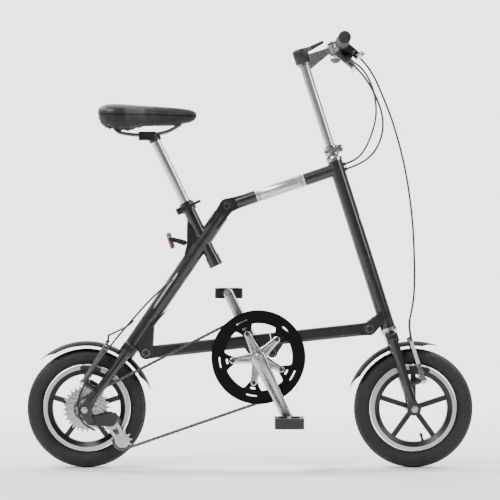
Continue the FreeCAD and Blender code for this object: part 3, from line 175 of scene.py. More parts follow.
# %% Camera
camera_data = bpy.data.cameras.new("camera")
camera_data.lens = 150
camera_data.clip_end = 60
camera = bpy.data.objects.new("camera", camera_data)
middle = (cad_box[0] + cad_box[1]) / 2
camera.location = (middle.x, -5.3, middle.z + 0.01)
camera.rotation_euler = (math.radians(90), 0, 0)
bpy.context.scene.collection.objects.link(camera)
bpy.context.scene.camera = camera
world = bpy.data.worlds.new("studio_air")
world.use_nodes = True
world.node_tree.nodes["Background"].inputs["Color"].default_value = (1, 1, 1, 1)
world.node_tree.nodes["Background"].inputs["Strength"].default_value = 0.24
bpy.context.scene.world = world
print("camera at", [round(x, 2) for x in camera.location])

# %% [markdown]
# ## Finishes
# A finish starts from what the real material is. Most of them share one recipe: a colour that drifts a
# little over centimetres, a roughness that changes over millimetres, a grain that lifts the surface, and
# edges that hands and straps have worn. The recipe is one function, and each finish gives it real sizes.

# %% Colour and node helpers


def linear(hex_colour):
    """An sRGB hex colour as the linear values that a shader works in."""
    parts = [int(hex_colour[i:i + 2], 16) / 255 for i in (1, 3, 5)]
    curve = [part / 12.92 if part <= 0.04045 else ((part + 0.055) / 1.055) ** 2.4 for part in parts]
    return (*curve, 1.0)


def add(tree, kind, inputs=(), **settings):
    """Adds a shader node. An input is a value, or the socket that feeds it."""
    added = tree.nodes.new("ShaderNode" + kind)
    for name, value in settings.items():
        setattr(added, name, value)
    for key, value in dict(inputs).items():
        if isinstance(value, bpy.types.NodeSocket):
            tree.links.new(value, added.inputs[key])
        else:
            added.inputs[key].default_value = value
    return added


def noise(tree, where, size_mm, detail=2.0):
    """A soft random pattern whose lumps are about this many millimetres across."""
    scale = 1 / (size_mm * MM)
    return add(tree, "TexNoise", {"Vector": where, "Scale": scale, "Detail": detail}).outputs["Fac"]


def between(tree, factor, low, high):
    """Takes a pattern that runs from 0.3 to 0.7 to a range of roughness."""
    scaled = add(tree, "MapRange", {"Value": factor, "From Min": 0.3, "From Max": 0.7,
                                    "To Min": low, "To Max": high})
    return scaled.outputs["Result"]


def mixed(tree, factor, first, second):
    """Two colours, as hex strings or sockets, mixed by a pattern."""
    pair = [linear(colour) if isinstance(colour, str) else colour for colour in (first, second)]
    mix = add(tree, "MixRGB", {"Fac": factor, "Color1": pair[0], "Color2": pair[1]})
    return mix.outputs["Color"]


def new_material(name):
    material = bpy.data.materials.new(name)
    material.use_nodes = True
    tree = material.node_tree
    shader = tree.nodes["Principled BSDF"]
    where = add(tree, "TexCoord").outputs["Object"]
    return material, tree, shader, where


# %% The shared recipe


def grain_height(tree, where, kind, size_mm):
    """The surface's own texture, as a height from 0 to 1."""
    scale = 1 / (size_mm * MM)
    if kind == "pebbled":
        cells = add(tree, "TexVoronoi", {"Vector": where, "Scale": scale}, feature="SMOOTH_F1")
        return cells.outputs["Distance"]
    return noise(tree, where, size_mm, 4.0)


def drawn_along(tree, where, direction, stretch=0.03):
    """Coordinates squeezed along a direction, so that a pattern becomes long lines that way."""
    turn = Vector(direction).to_track_quat("Z", "Y").inverted().to_euler()
    turned = add(tree, "Mapping", {"Vector": where, "Rotation": turn}).outputs["Vector"]
    return add(tree, "Mapping", {"Vector": turned, "Scale": (1, 1, stretch)}).outputs["Vector"]


def finish(name, colours, roughness, grain=("soft", 1.0, 0.1), drift_mm=60, worn=None, along=None,
           metallic=0.0, **sockets):
    """A material with drifting colour, changing roughness, a grain of (kind, size, height) in mm, and wear.

    worn is (colour, share): the colour that shows where an edge is rubbed, and how much of it.
    """
    material, tree, shader, where = new_material(name)
    lined = drawn_along(tree, where, along) if along else where
    colour = mixed(tree, noise(tree, where, drift_mm), *colours)
    if worn:
        edge = add(tree, "NewGeometry").outputs["Pointiness"]
        rubbed = add(tree, "MapRange", {"Value": edge, "From Min": 0.55, "From Max": 0.64, "To Max": worn[1]})
        patchy = add(tree, "Math", {0: rubbed.outputs["Result"], 1: noise(tree, where, 9, 4)},
                     operation="MULTIPLY")
        colour = mixed(tree, patchy.outputs["Value"], colour, worn[0])
    tree.links.new(colour, shader.inputs["Base Color"])
    kind, size_mm, height_mm = grain
    rough = between(tree, noise(tree, lined, max(size_mm * 4, 5), 3), *roughness)
    tree.links.new(rough, shader.inputs["Roughness"])
    height = grain_height(tree, lined, kind, size_mm)
    bump = add(tree, "Bump", {"Height": height, "Distance": height_mm * MM, "Strength": 0.6})
    tree.links.new(bump.outputs["Normal"], shader.inputs["Normal"])
    shader.inputs["Metallic"].default_value = metallic
    for key, value in sockets.items():
        shader.inputs[key.replace("_", " ")].default_value = value
    return material


# %% [markdown]
# The frame is aluminium tube under black enamel, sprayed and baked. Baking leaves a faint orange peel of a
# few millimetres under a clear gloss, so it has a coat over a slightly rougher base.

# %% Painted and moulded finishes
baked_enamel = finish("baked_black_enamel", ("#08090a", "#0e0f11"), (0.26, 0.38), ("soft", 3.0, 0.01),
                      worn=("#3c3d3f", 0.4), Coat_Weight=0.4, Coat_Roughness=0.07, IOR=1.5)
moulded_nylon = finish("moulded_black_nylon", ("#0a0b0c", "#121314"), (0.42, 0.6), ("pebbled", 0.9, 0.06),
                       worn=("#3c3d3f", 0.5), IOR=1.53)
gloss_polypropylene = finish("gloss_black_polypropylene", ("#070809", "#0c0d0f"), (0.4, 0.55),
                             ("soft", 6.0, 0.02), worn=("#2a2b2d", 0.4), IOR=1.49, Specular_IOR_Level=0.1)
pvc_jacket = finish("extruded_black_pvc", ("#0a0b0c", "#121314"), (0.38, 0.5), ("soft", 1.2, 0.03), IOR=1.53)
kraton_grip = finish("moulded_black_kraton", ("#0c0c0e", "#151618"), (0.62, 0.8), ("pebbled", 0.7, 0.09),
                     worn=("#38393b", 0.5), Sheen_Weight=0.15, IOR=1.5)
print("plastics", 4)

# %% [markdown]
# Tyre rubber is loaded with carbon black, so it is nearly black but never glossy. The tread picks up pale
# dust, which is why it looks greyer than the sidewalls: the dust is mixed in by distance from the axle.

# %% Tyre rubber


def tyre_rubber(name, axle, dusty_from_mm):
    material, tree, shader, where = new_material(name)
    radius = distance_from(tree, where, axle)
    dusty = add(tree, "MapRange", {"Value": radius, "From Min": dusty_from_mm * MM,
                                   "From Max": (dusty_from_mm + 8) * MM, "To Max": 0.5})
    dust = add(tree, "Math", {0: dusty.outputs["Result"], 1: noise(tree, where, 7, 5)}, operation="MULTIPLY")
    rubber = mixed(tree, noise(tree, where, 30), "#0e0e0f", "#171819")
    tree.links.new(mixed(tree, dust.outputs["Value"], rubber, "#3a3a39"), shader.inputs["Base Color"])
    tree.links.new(between(tree, noise(tree, where, 4, 3), 0.62, 0.86), shader.inputs["Roughness"])
    grain = grain_height(tree, where, "pebbled", 1.1)
    bump = add(tree, "Bump", {"Height": grain, "Distance": 0.1 * MM, "Strength": 0.6})
    tree.links.new(bump.outputs["Normal"], shader.inputs["Normal"])
    shader.inputs["IOR"].default_value = 1.52
    return material


def distance_from(tree, where, axle):
    """How far a point is from an axle that runs across the bicycle."""
    shifted = add(tree, "VectorMath", {0: where, 1: axle}, operation="SUBTRACT").outputs["Vector"]
    flat = add(tree, "VectorMath", {0: shifted, 1: (1, 0, 1)}, operation="MULTIPLY").outputs["Vector"]
    return add(tree, "VectorMath", {0: flat}, operation="LENGTH").outputs["Value"]


# %% [markdown]
# The bare metals differ by how they were made. Forged cranks and levers are tumbled and polished, so they
# gleam unevenly. The posts are drawn tube, brushed along their length and anodised. The hub nuts and pins
# are nickel plated steel, and the chain is blued steel under a film of oil.

# %% Metals
forged_alloy = finish("polished_forged_aluminium", ("#a9abad", "#c9cacc"), (0.16, 0.3), ("soft", 3.0, 0.015),
                      worn=("#8f9193", 0.4), metallic=1.0)
stem_alloy = finish("brushed_anodised_stem", ("#bfc1c3", "#d6d7d9"), (0.18, 0.34), ("soft", 0.8, 0.03),
                    along=STEER_UP, metallic=1.0)
post_alloy = finish("brushed_anodised_post", ("#bfc1c3", "#d6d7d9"), (0.18, 0.34), ("soft", 0.8, 0.03),
                    along=SEAT_UP, metallic=1.0)
bar_alloy = finish("brushed_anodised_bar", ("#b9bbbd", "#d0d1d3"), (0.2, 0.36), ("soft", 0.8, 0.03),
                   along=ACROSS, metallic=1.0)
nickel_plate = finish("nickel_plated_steel", ("#a9a9a6", "#c9c8c4"), (0.16, 0.3), ("soft", 1.5, 0.03),
                      worn=("#6d6b68", 0.6), metallic=1.0)
blued_steel = finish("oiled_blued_steel", ("#26272a", "#4a4b4e"), (0.26, 0.5), ("soft", 2.0, 0.05),
                     drift_mm=14, worn=("#9a9b9d", 0.8), metallic=1.0)
black_anodised = finish("black_anodised_aluminium", ("#090a0b", "#0f1012"), (0.24, 0.36), ("soft", 1.2, 0.02),
                        worn=("#7d7f82", 0.5), IOR=1.6)
print("metals", 7)

# %% [markdown]
# Each wheel is one casting in black powder coat, with the two brake tracks turned bright on a lathe. One
# material does both: outside a set radius it is bare metal with fine rings, and inside it is powder coat.

# %% Cast wheel


def cast_wheel(name, axle, track_from_mm):
    material, tree, shader, where = new_material(name)
    radius = distance_from(tree, where, axle)
    edge = track_from_mm * MM
    step = add(tree, "MapRange", {"Value": radius, "From Min": edge, "From Max": edge + 0.3 * MM})
    bare = step.outputs["Result"]
    coat = mixed(tree, noise(tree, where, 50), "#0a0b0c", "#111214")
    metal = mixed(tree, noise(tree, where, 25), "#b2b4b6", "#d0d1d3")
    tree.links.new(mixed(tree, bare, coat, metal), shader.inputs["Base Color"])
    tree.links.new(bare, shader.inputs["Metallic"])
    # Lathe rings are about 0.1 mm apart on a real track, drawn at 1.2 mm so that they show.
    ring_phase = add(tree, "Math", {0: radius, 1: 2 * math.pi / (1.2 * MM)}, operation="MULTIPLY")
    rings = add(tree, "Math", {0: ring_phase.outputs["Value"]}, operation="SINE").outputs["Value"]
    ringed = add(tree, "Math", {0: rings, 1: bare}, operation="MULTIPLY").outputs["Value"]
    peel = grain_height(tree, where, "pebbled", 1.4)
    height = add(tree, "Math", {0: ringed, 1: peel}, operation="ADD").outputs["Value"]
    bump = add(tree, "Bump", {"Height": height, "Distance": 0.03 * MM, "Strength": 0.5})
    tree.links.new(bump.outputs["Normal"], shader.inputs["Normal"])
    tree.links.new(between(tree, noise(tree, where, 6, 3), 0.26, 0.42), shader.inputs["Roughness"])
    return material


# %% [markdown]
# The saddle's cover is a soft vinyl with a pebbled grain of about 1.5 mm, stretched over foam. The rear lamp
# is a red acrylic lens with small prisms moulded behind its face, in a black housing.

# %% Saddle vinyl, lens and foil
saddle_vinyl = finish("pebbled_black_vinyl", ("#0c0c0d", "#151617"), (0.42, 0.58), ("pebbled", 1.5, 0.12),
                      worn=("#333436", 0.5), Sheen_Weight=0.2, Sheen_Roughness=0.4, IOR=1.5)
silver_foil = finish("brushed_silver_foil", ("#b9bbbe", "#d4d6d8"), (0.24, 0.4), ("soft", 1.0, 0.02),
                     metallic=0.85, Coat_Weight=0.4)
# A pale grey finish, used for the strip along the front of the main tube.
pale_strip_grey = finish("pale_grey_strip", ("#9b9da0", "#b5b7ba"), (0.35, 0.5), ("soft", 1.0, 0.01))
brake_rubber = finish("ground_brake_rubber", ("#17171a", "#242427"), (0.6, 0.8), ("pebbled", 0.8, 0.1))


def lens_and_housing(name, lens_from, facing):
    """Red acrylic beyond a plane across the lamp's axis, and black plastic before it."""
    material, tree, shader, where = new_material(name)
    shifted = add(tree, "VectorMath", {0: where, 1: lens_from}, operation="SUBTRACT").outputs["Vector"]
    depth = add(tree, "VectorMath", {0: shifted, 1: facing}, operation="DOT_PRODUCT").outputs["Value"]
    lens = add(tree, "Math", {0: depth, 1: 0.0}, operation="GREATER_THAN").outputs["Value"]
    red = mixed(tree, noise(tree, where, 5), "#8e0a10", "#c4141c")
    black = mixed(tree, noise(tree, where, 20), "#101112", "#1b1c1e")
    tree.links.new(mixed(tree, lens, black, red), shader.inputs["Base Color"])
    prisms = add(tree, "TexVoronoi", {"Vector": where, "Scale": 1 / (2.6 * MM)}).outputs["Distance"]
    bump = add(tree, "Bump", {"Height": prisms, "Distance": 0.6 * MM, "Strength": 0.8})
    tree.links.new(bump.outputs["Normal"], shader.inputs["Normal"])
    tree.links.new(between(tree, noise(tree, where, 8), 0.1, 0.3), shader.inputs["Roughness"])
    shader.inputs["IOR"].default_value = 1.49
    shader.inputs["Coat Weight"].default_value = 0.5
    return material


print("materials", len(bpy.data.materials))

# %% [markdown]
# ## Finishes on the frame's own parts
# A part whose shape is right keeps it, and only takes a material. The list goes from finish to parts, which
# is how a parts bin would be labelled.

# %% Assign finishes


def coat(part, material):
    data = nodes[part].data
    data.materials.clear()
    data.materials.append(material)


def paired(*stems):
    return [f"{stem}_{side}" for stem in stems for side in SIDES]


FINISHES = {
    baked_enamel: ["head_tube", "top_tube", "main_tube", "seat_tube", "rear_stays", "rear_link", "front_link",
                   "fork", "seat_clamp", "seat_clamp_lever", "saddle_clamp"],
    moulded_nylon: ["derailleur_body", "stem_head_lever", "seat_shim",
                    *paired("brake_perch", "pedal_sleeve", "pedal_platform")],
    gloss_polypropylene: ["front_mudguard", "rear_mudguard"],
    forged_alloy: ["headset", "steering_collar", "steering_collar_lever", "stem_head", "derailleur_cage",
                   *paired("front_brake_arm", "rear_brake_arm", "brake_lever")],
    stem_alloy: ["stem_post"],
    post_alloy: ["seat_post"],
    bar_alloy: paired("handlebar"),
    nickel_plate: ["front_axle", "rear_axle", "frame_hinge_pins", "link_pins", "crank_spindle", "cassette"],
    black_anodised: ["bottom_bracket"],
}
for material, parts in FINISHES.items():
    for part in parts:
        coat(part, material)
coat("front_wheel", cast_wheel("cast_front_wheel", FRONT_AXLE, 98.5))
coat("rear_wheel", cast_wheel("cast_rear_wheel", REAR_AXLE, 98.5))
LAMP_BACK = ray(198)
coat("reflector", lens_and_housing("red_acrylic_lens", place(-196, 578) + LAMP_BACK * 8.5 * MM, LAMP_BACK))

paper = finish("pale_studio_paper", ("#f1f1f0", "#f5f5f4"), (0.8, 0.9), ("soft", 2.0, 0.02), drift_mm=900)
floor.data.materials.append(paper)
print("finished parts", sum(len(parts) for parts in FINISHES.values()) + 3)

# %% [markdown]
# ## Shapes in mesh code
# Two helpers make nearly every small piece. `lathe` turns an outline about an axis, and `pipe` runs a tube
# along a smooth curve. They give closed meshes.

# %% Mesh helpers


def give(thing, body, material, replaces=()):
    """A piece's material, the body it moves with, and the parts that it stands for."""
    thing.data.materials.clear()
    thing.data.materials.append(material)
    if body:
        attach(thing, body)
    if replaces:
        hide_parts(*replaces)
    return thing


def across_frame(axis):
    """Two directions square to an axis and to each other."""
    axis = Vector(axis).normalized()
    helper = Vector((0, 0, 1)) if abs(axis.z) < 0.9 else Vector((1, 0, 0))
    first = axis.cross(helper).normalized()
    return first, axis.cross(first)


def lathe(name, origin, axis, outline, steps=48):
    """Turns an outline of (radius, distance along the axis), in millimetres, about an axis."""
    first, second = across_frame(axis)
    axis = Vector(axis).normalized()
    mesh = bmesh.new()
    rings = []
    for radius, distance in outline:
        centre = Vector(origin) + axis * distance * MM
        if radius < 1e-6:
            rings.append([mesh.verts.new(centre)])
            continue
        ring = []
        for step in range(steps):
            angle = 2 * math.pi * step / steps
            out = first * math.cos(angle) + second * math.sin(angle)
            ring.append(mesh.verts.new(centre + out * radius * MM))
        rings.append(ring)
    closed = len(rings[0]) > 1
    pairs = list(zip(rings, rings[1:] + rings[:1] if closed else rings[1:]))
    for low, high in pairs:
        for step in range(steps):
            corners = []
            for ring in (low, high):
                here = [ring[step % len(ring)], ring[(step + 1) % len(ring)]]
                corners += here if ring is low else here[::-1]
            corners = list(dict.fromkeys(corners))
            if len(corners) > 2:
                mesh.faces.new(corners)
    return finished_mesh(name, mesh)


def smooth_line(points, resolution=12):
    """Points along the smooth curve that a list of guide points gives."""
    curve = bpy.data.curves.new("guide", "CURVE")
    curve.dimensions = "3D"
    spline = curve.splines.new("NURBS")
    spline.points.add(len(points) - 1)
    for slot, point in zip(spline.points, points):
        slot.co = (*point, 1)
    spline.use_endpoint_u = True
    spline.order_u = 3
    spline.resolution_u = resolution
    holder = bpy.data.objects.new("guide", curve)
    line = bpy.data.meshes.new_from_object(holder)
    found = [vertex.co.copy() for vertex in line.vertices]
    bpy.data.objects.remove(holder)
    bpy.data.curves.remove(curve)
    bpy.data.meshes.remove(line)
    return found


def pipe(name, line, radius_mm, sides=12):
    """A closed round tube along a line. The radius is a number, or a function of the share of the way."""
    mesh = bmesh.new()
    rings = []
    first = None
    for number, point in enumerate(line):
        before = line[max(number - 1, 0)]
        after = line[min(number + 1, len(line) - 1)]
        along = (after - before).normalized()
        first = across_frame(along)[0] if first is None else (first - along * first.dot(along)).normalized()
        second = along.cross(first)
        share = number / (len(line) - 1)
        reach = (radius_mm(share) if callable(radius_mm) else radius_mm) * MM
        ring = []
        for side in range(sides):
            angle = 2 * math.pi * side / sides
            ring.append(mesh.verts.new(point + (first * math.cos(angle) + second * math.sin(angle)) * reach))
        rings.append(ring)
    for low, high in zip(rings, rings[1:]):
        for side in range(sides):
            mesh.faces.new((low[side], low[(side + 1) % sides], high[(side + 1) % sides], high[side]))
    mesh.faces.new(rings[0][::-1])
    mesh.faces.new(rings[-1])
    return finished_mesh(name, mesh)


# %% [markdown]
# ## Tyres
# A tyre is a rubber ring moulded with a tread. The section is a bulging oval from bead to bead, and the
# tread is cut by lowering the crown along zigzag grooves, so the blocks are real geometry.

# %% Tread and tyres
TYRE_HALF_WIDTH = 25
TYRE_MIDDLE = 129.5
TYRE_HEIGHT = 21.5
GROOVE_DEPTH = 1.7
BLOCKS_ROUND = 66


def tread_drop(angle_round, angle_section):
    """How far the surface lies below the crown, in millimetres, at a place on the tyre."""
    lean = abs(math.degrees(angle_section))
    if lean > 62:
        rib = math.exp(-((lean - 84) / 3) ** 2) + math.exp(-((lean - 118) / 4) ** 2)
        return 0.5 - 0.5 * rib
    if lean < 6:
        return GROOVE_DEPTH * 0.8
    turn = angle_round * BLOCKS_ROUND / (2 * math.pi) + lean / 34
    zigzag = abs((turn + 0.5 * (lean > 32)) % 1 - 0.5)
    groove = zigzag < 0.11 or 29 < lean < 33.5
    return GROOVE_DEPTH if groove else 0.0


def tyre(name, axle, body, cad_part, around=660, section=50):
    mesh = bmesh.new()
    rings = []
    for step in range(around):
        turn = 2 * math.pi * step / around
        out = Vector((math.cos(turn), 0, math.sin(turn)))
        ring = []
        for point in range(section + 1):
            lean = math.radians(-150 + 300 * point / section)
            drop = tread_drop(turn, lean)
            radius = TYRE_MIDDLE + (TYRE_HEIGHT - drop) * math.cos(lean)
            side = (TYRE_HALF_WIDTH - drop) * math.sin(lean)
            ring.append(mesh.verts.new(axle + (out * radius + ACROSS * side) * MM))
        rings.append(ring)
    for here, there in zip(rings, rings[1:] + rings[:1]):
        for point in range(section + 1):
            following = (point + 1) % (section + 1)
            mesh.faces.new((here[point], here[following], there[following], there[point]))
    piece = finished_mesh(name, mesh)
    return give(piece, body, tyre_rubber(name + "_rubber", axle, 140), [cad_part])


tyre("front_tyre_with_tread", FRONT_AXLE, "front_wheel", "front_tyre")
tyre("rear_tyre_with_tread", REAR_AXLE, "rear_wheel", "rear_tyre")
print("tyre blocks", 2 * BLOCKS_ROUND)

# %% [markdown]
# A brass valve with a black cap stands inside each rim. It is turned like the real one, from an outline.

# %% Valves


def valve(name, axle, angle, body):
    out = Vector((math.cos(math.radians(angle)), 0, math.sin(math.radians(angle))))
    root = axle + out * 88 * MM
    tilt = (-out + ACROSS * -0.55).normalized()
    stem = lathe(name + "_stem", root, tilt, [(0, 0), (4.2, 0), (4.2, 2), (3, 5), (3, 16), (0, 16)], 20)
    give(stem, body, brake_rubber)
    cap = lathe(name + "_cap", root, tilt, [(0, 15), (3.6, 15), (3.7, 22), (3.0, 24.5), (0, 25)], 20)
    give(cap, body, moulded_nylon)


valve("front_valve", FRONT_AXLE, 286, "front_wheel")
valve("rear_valve", REAR_AXLE, 232, "rear_wheel")

# %% [markdown]
# ## Chain
# The frame's chain is a plain band with rollers. The rollers are in the right places, so each one is found
# in the band's mesh, and a pair of waisted plates is laid between every two. The plates alternate between
# inner and outer, as on a real chain. It crosses the rear hinge, and follows neither of the bodies that meet
# there.

# %% Chain of plates


def loose_parts(data):
    """The separate solids of a mesh, each as the list of its vertices' places."""
    mesh = bmesh.new()
    mesh.from_mesh(data)
    bmesh.ops.remove_doubles(mesh, verts=mesh.verts, dist=1e-6)
    waiting = set(mesh.verts)
    parts = []
    while waiting:
        reached = [waiting.pop()]
        part = []
        while reached:
            here = reached.pop()
            part.append(here.co.copy())
            for edge in here.link_edges:
                there = edge.other_vert(here)
                if there in waiting:
                    waiting.discard(there)
                    reached.append(there)
        parts.append(part)
    mesh.free()
    return parts


def in_travel_order(centres):
    """The rollers' centres, each followed by its nearest neighbour round the loop."""
    order = [centres.pop(0)]
    while centres:
        nearest = min(centres, key=lambda centre: (centre - order[-1]).length)
        centres.remove(nearest)
        order.append(nearest)
    return order


def link_plate(mesh, start, end, y, thick):
    """One plate with round ends and a waist, standing across the chain."""
    along = (end - start).normalized()
    up = Vector((-along.z, 0, along.x))
    outline = []
    for centre, way in ((end, 1), (start, -1)):
        for step in range(9):
            angle = math.radians(-80 + 160 * step / 8)
            outline.append(centre + (along * math.cos(angle) + up * math.sin(angle)) * way * 4.0 * MM)
        waist = (start + end) / 2 + up * way * 2.9 * MM
        outline.append(waist)
    faces = []
    for offset in (y - thick / 2, y + thick / 2):
        faces.append([mesh.verts.new((point.x, offset * MM, point.z)) for point in outline])
    mesh.faces.new(faces[0][::-1])
    mesh.faces.new(faces[1])
    for number in range(len(outline)):
        following = (number + 1) % len(outline)
        mesh.faces.new((faces[0][number], faces[0][following], faces[1][following], faces[1][number]))


def roller_centres():
    """The middle of each solid in the frame's chain that is no longer than a roller."""
    found = []
    for part in loose_parts(nodes["chain"].data):
        low = Vector([min(point[axis] for point in part) for axis in range(3)])
        high = Vector([max(point[axis] for point in part) for axis in range(3)])
        if (high - low).x < 9 * MM:
            found.append((low + high) / 2)
    return found


def chain_mesh():
    """Rollers, pins and two plates for every link, as one mesh."""
    rollers = in_travel_order(roller_centres())
    line = rollers[0].y / MM
    mesh = bmesh.new()
    for number, (here, there) in enumerate(zip(rollers, rollers[1:] + rollers[:1])):
        spread = 2.9 if number % 2 else 1.9
        for sign in SIDES.values():
            link_plate(mesh, here, there, line + sign * spread, 0.9)
        turn = Matrix.Translation(Vector((here.x, line * MM, here.z))) @ Matrix.Rotation(math.pi / 2, 4, "X")
        bmesh.ops.create_cone(mesh, cap_ends=True, segments=14, radius1=3.4 * MM, radius2=3.4 * MM,
                              depth=2.8 * MM, matrix=turn)
        bmesh.ops.create_cone(mesh, cap_ends=True, segments=10, radius1=1.7 * MM, radius2=1.7 * MM,
                              depth=7.0 * MM, matrix=turn)
    gaps = [(b - a).length / MM for a, b in zip(rollers, rollers[1:] + rollers[:1])]
    print("chain rollers", len(rollers), "widest step mm", round(max(gaps), 2))
    return finished_mesh("roller_chain", mesh, smooth=False)


chain = give(chain_mesh(), None, blued_steel, ["chain"])
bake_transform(chain)

# %% [markdown]
# ## Chainring, guard and cranks
# The ring and its guard are flat sheets with windows, so each is a filled outline: the outer edge, the large
# opening with five forked tabs, and the small holes and slots. The cranks are forged, so each arm is a run
# of rounded sections with a shallow groove down its outer face.

# %% Sheets with windows
TAB_ANGLE = 43.8
RING_TEETH = 54
PITCH_RADIUS = 109.4
BOLT_RADIUS = 65
GUARD_RADIUS = 118
# One tooth, as its share of a pitch to either side and its height over the pitch circle in millimetres.
TOOTH_OUTLINE = ((-0.36, -4.4), (-0.25, -2.6), (-0.08, 3.0), (0.08, 3.0), (0.25, -2.6), (0.36, -4.4))


def polar(angle, radius):
    turn = math.radians(angle)
    return radius * math.cos(turn), radius * math.sin(turn)


def circle(radius, centre=(0, 0), points=64):
    edge = [polar(360 * number / points, radius) for number in range(points)]
    return [(centre[0] + x, centre[1] + y) for x, y in edge]


def tabbed_opening():
    """The opening's edge: a circle of 86 mm that dips in to a rounded tab at each of the five bolts."""
    found = []
    for step in range(360):
        off = abs((step - TAB_ANGLE + 36) % 72 - 36)
        rise = min(1, max(0, (off - 6.5) / 10))
        tip = 65 - 8.5 * math.sqrt(max(0, 1 - (off / 7.6) ** 2))
        radius = tip if off < 6.5 else 62 + 24 * rise * rise * (3 - 2 * rise)
        found.append(polar(step, radius))
    return found


def arc_slot(angle, radius, spread, half_width):
    """A slot with round ends along an arc."""
    outer = [polar(angle - spread + 2 * spread * n / 12, radius + half_width) for n in range(13)]
    inner = [polar(angle + spread - 2 * spread * n / 12, radius - half_width) for n in range(13)]
    ends = [polar(angle + spread + 1.2, radius), polar(angle - spread - 1.2, radius)]
    return outer + ends[:1] + inner + ends[1:]


def toothed_edge(phase):
    found = []
    step = 360 / RING_TEETH
    for tooth in range(RING_TEETH):
        middle = phase + step * (tooth + 0.5)
        for share, height in TOOTH_OUTLINE:
            found.append(polar(middle + share * step, PITCH_RADIUS + height))
    return found


def sheet(name, loops, centre, thickness, bevel=0.3):
    """A flat sheet across the bicycle with every inner loop cut out, and its edges just broken."""
    curve = bpy.data.curves.new(name, "CURVE")
    curve.dimensions = "2D"
    curve.fill_mode = "BOTH"
    curve.extrude = (thickness / 2 - bevel) * MM
    curve.bevel_depth = bevel * MM
    curve.bevel_resolution = 1
    for loop in loops:
        spline = curve.splines.new("POLY")
        spline.points.add(len(loop) - 1)
        for slot, (x, z) in zip(spline.points, loop):
            slot.co = (x * MM, z * MM, 0, 1)
        spline.use_cyclic_u = True
    holder = bpy.data.objects.new(name, curve)
    flat = bpy.data.meshes.new_from_object(holder)
    bpy.data.objects.remove(holder)
    mesh = bmesh.new()
    mesh.from_mesh(flat)
    bmesh.ops.remove_doubles(mesh, verts=mesh.verts, dist=1e-6)
    bmesh.ops.transform(mesh, verts=mesh.verts,
                        matrix=Matrix.Translation(centre) @ Matrix.Rotation(math.pi / 2, 4, "X"))
    return finished_mesh(name, mesh, smooth=False)


def roller_phase():
    """The angle round the crank of a roller that lies on the chainring."""
    foremost = max(roller_centres(), key=lambda roller: roller.x) - BOTTOM_BRACKET
    return math.degrees(math.atan2(foremost.z, foremost.x))


tabs = [TAB_ANGLE + 72 * number for number in range(5)]
bolt_holes = [circle(4, polar(angle, BOLT_RADIUS), 20) for angle in tabs]
fork_holes = [arc_slot(angle, 79.5, 4.2, 2.9) for angle in tabs]
slots = [arc_slot(angle, 98, 7.5, 2.2) for angle in tabs]
windows = [tabbed_opening()] + bolt_holes + fork_holes + slots
ring = sheet("toothed_chainring", [toothed_edge(roller_phase())] + windows,
             BOTTOM_BRACKET - ACROSS * 45 * MM, 2.4)
give(ring, "crankset", black_anodised, ["chainring"])
guard = sheet("slotted_chain_guard", [circle(GUARD_RADIUS, points=120)] + windows,
              BOTTOM_BRACKET - ACROSS * 51 * MM, 2.2, 0.5)
give(guard, "crankset", gloss_polypropylene, ["chain_guard"])
print("sheets", 2)

# %% Forged cranks


def forged_arm(mesh, start, end, y, thickness, widths, groove=0.0):
    """Adds a rounded bar between two centres to a mesh, with a groove down its outer face."""
    along = (end - start).normalized()
    side = Vector((-along.z, 0, along.x))
    length = (end - start).length / MM
    first, last = widths
    stations = [-first * math.cos(math.radians(a)) for a in (0, 20, 40, 60, 90)]
    stations += [length * n / 10 for n in range(1, 10)]
    stations += [length + last * math.cos(math.radians(a)) for a in (90, 60, 40, 20, 0)]
    loops = []
    for station in stations:
        share = min(1, max(0, station / length))
        width = first + (last - first) * (3 * share ** 2 - 2 * share ** 3) ** 0.6
        if station < 0:
            width = math.sqrt(max(0.5, first ** 2 - station ** 2))
        elif station > length:
            width = math.sqrt(max(0.5, last ** 2 - (station - length) ** 2))
        dent = groove * max(0, math.sin(math.pi * min(1, max(0, (station / length - 0.12) / 0.74))))
        loops.append(bar_section(mesh, start + along * station * MM, side, y, width, thickness, dent))
    for here, there in zip(loops, loops[1:]):
        for number in range(len(here)):
            following = (number + 1) % len(here)
            mesh.faces.new((here[number], here[following], there[following], there[number]))
    mesh.faces.new(loops[0][::-1])
    mesh.faces.new(loops[-1])


def bar_section(mesh, centre, side, y, width, thickness, dent, points=28):
    """One rounded section. y is the middle of the bar across the bicycle, and its sign is the outer side."""
    loop = []
    for number in range(points):
        angle = 2 * math.pi * number / points
        u = math.copysign(abs(math.cos(angle)) ** 0.7, math.cos(angle))
        v = math.copysign(abs(math.sin(angle)) ** 0.7, math.sin(angle))
        if v > 0:
            v -= dent * math.exp(-(u / 0.38) ** 2)
        across = y + math.copysign(1, y) * v * thickness / 2
        loop.append(mesh.verts.new(centre + (side * u * width + ACROSS * across) * MM))
    return loop


for side, sign in SIDES.items():
    end = middle_plane(joint_at(f"pedal_{side}_spin"))
    mesh = bmesh.new()
    forged_arm(mesh, BOTTOM_BRACKET, end, 64.5 * sign, 13.4, (19, 13), 0.5)
    if side == "right":
        for angle in tabs:
            tip = BOTTOM_BRACKET + place(*polar(angle, BOLT_RADIUS))
            forged_arm(mesh, BOTTOM_BRACKET, tip, -55.6, 6.4, (16, 8.5), 0.25)
    crank = finished_mesh(f"forged_crank_{side}", mesh)
    give(crank, "crankset", forged_alloy, [f"crank_{side}"])
print("cranks", 2)

# %% [markdown]
# ## Saddle
# The saddle is foam on a plastic base under a stretched vinyl cover. It is lofted from sections along its
# length: wide wings behind, a narrow nose in front, a crowned top and a skirt that turns under. Cloth
# simulation then swells the cover a little, which softens every edge the way foam does.

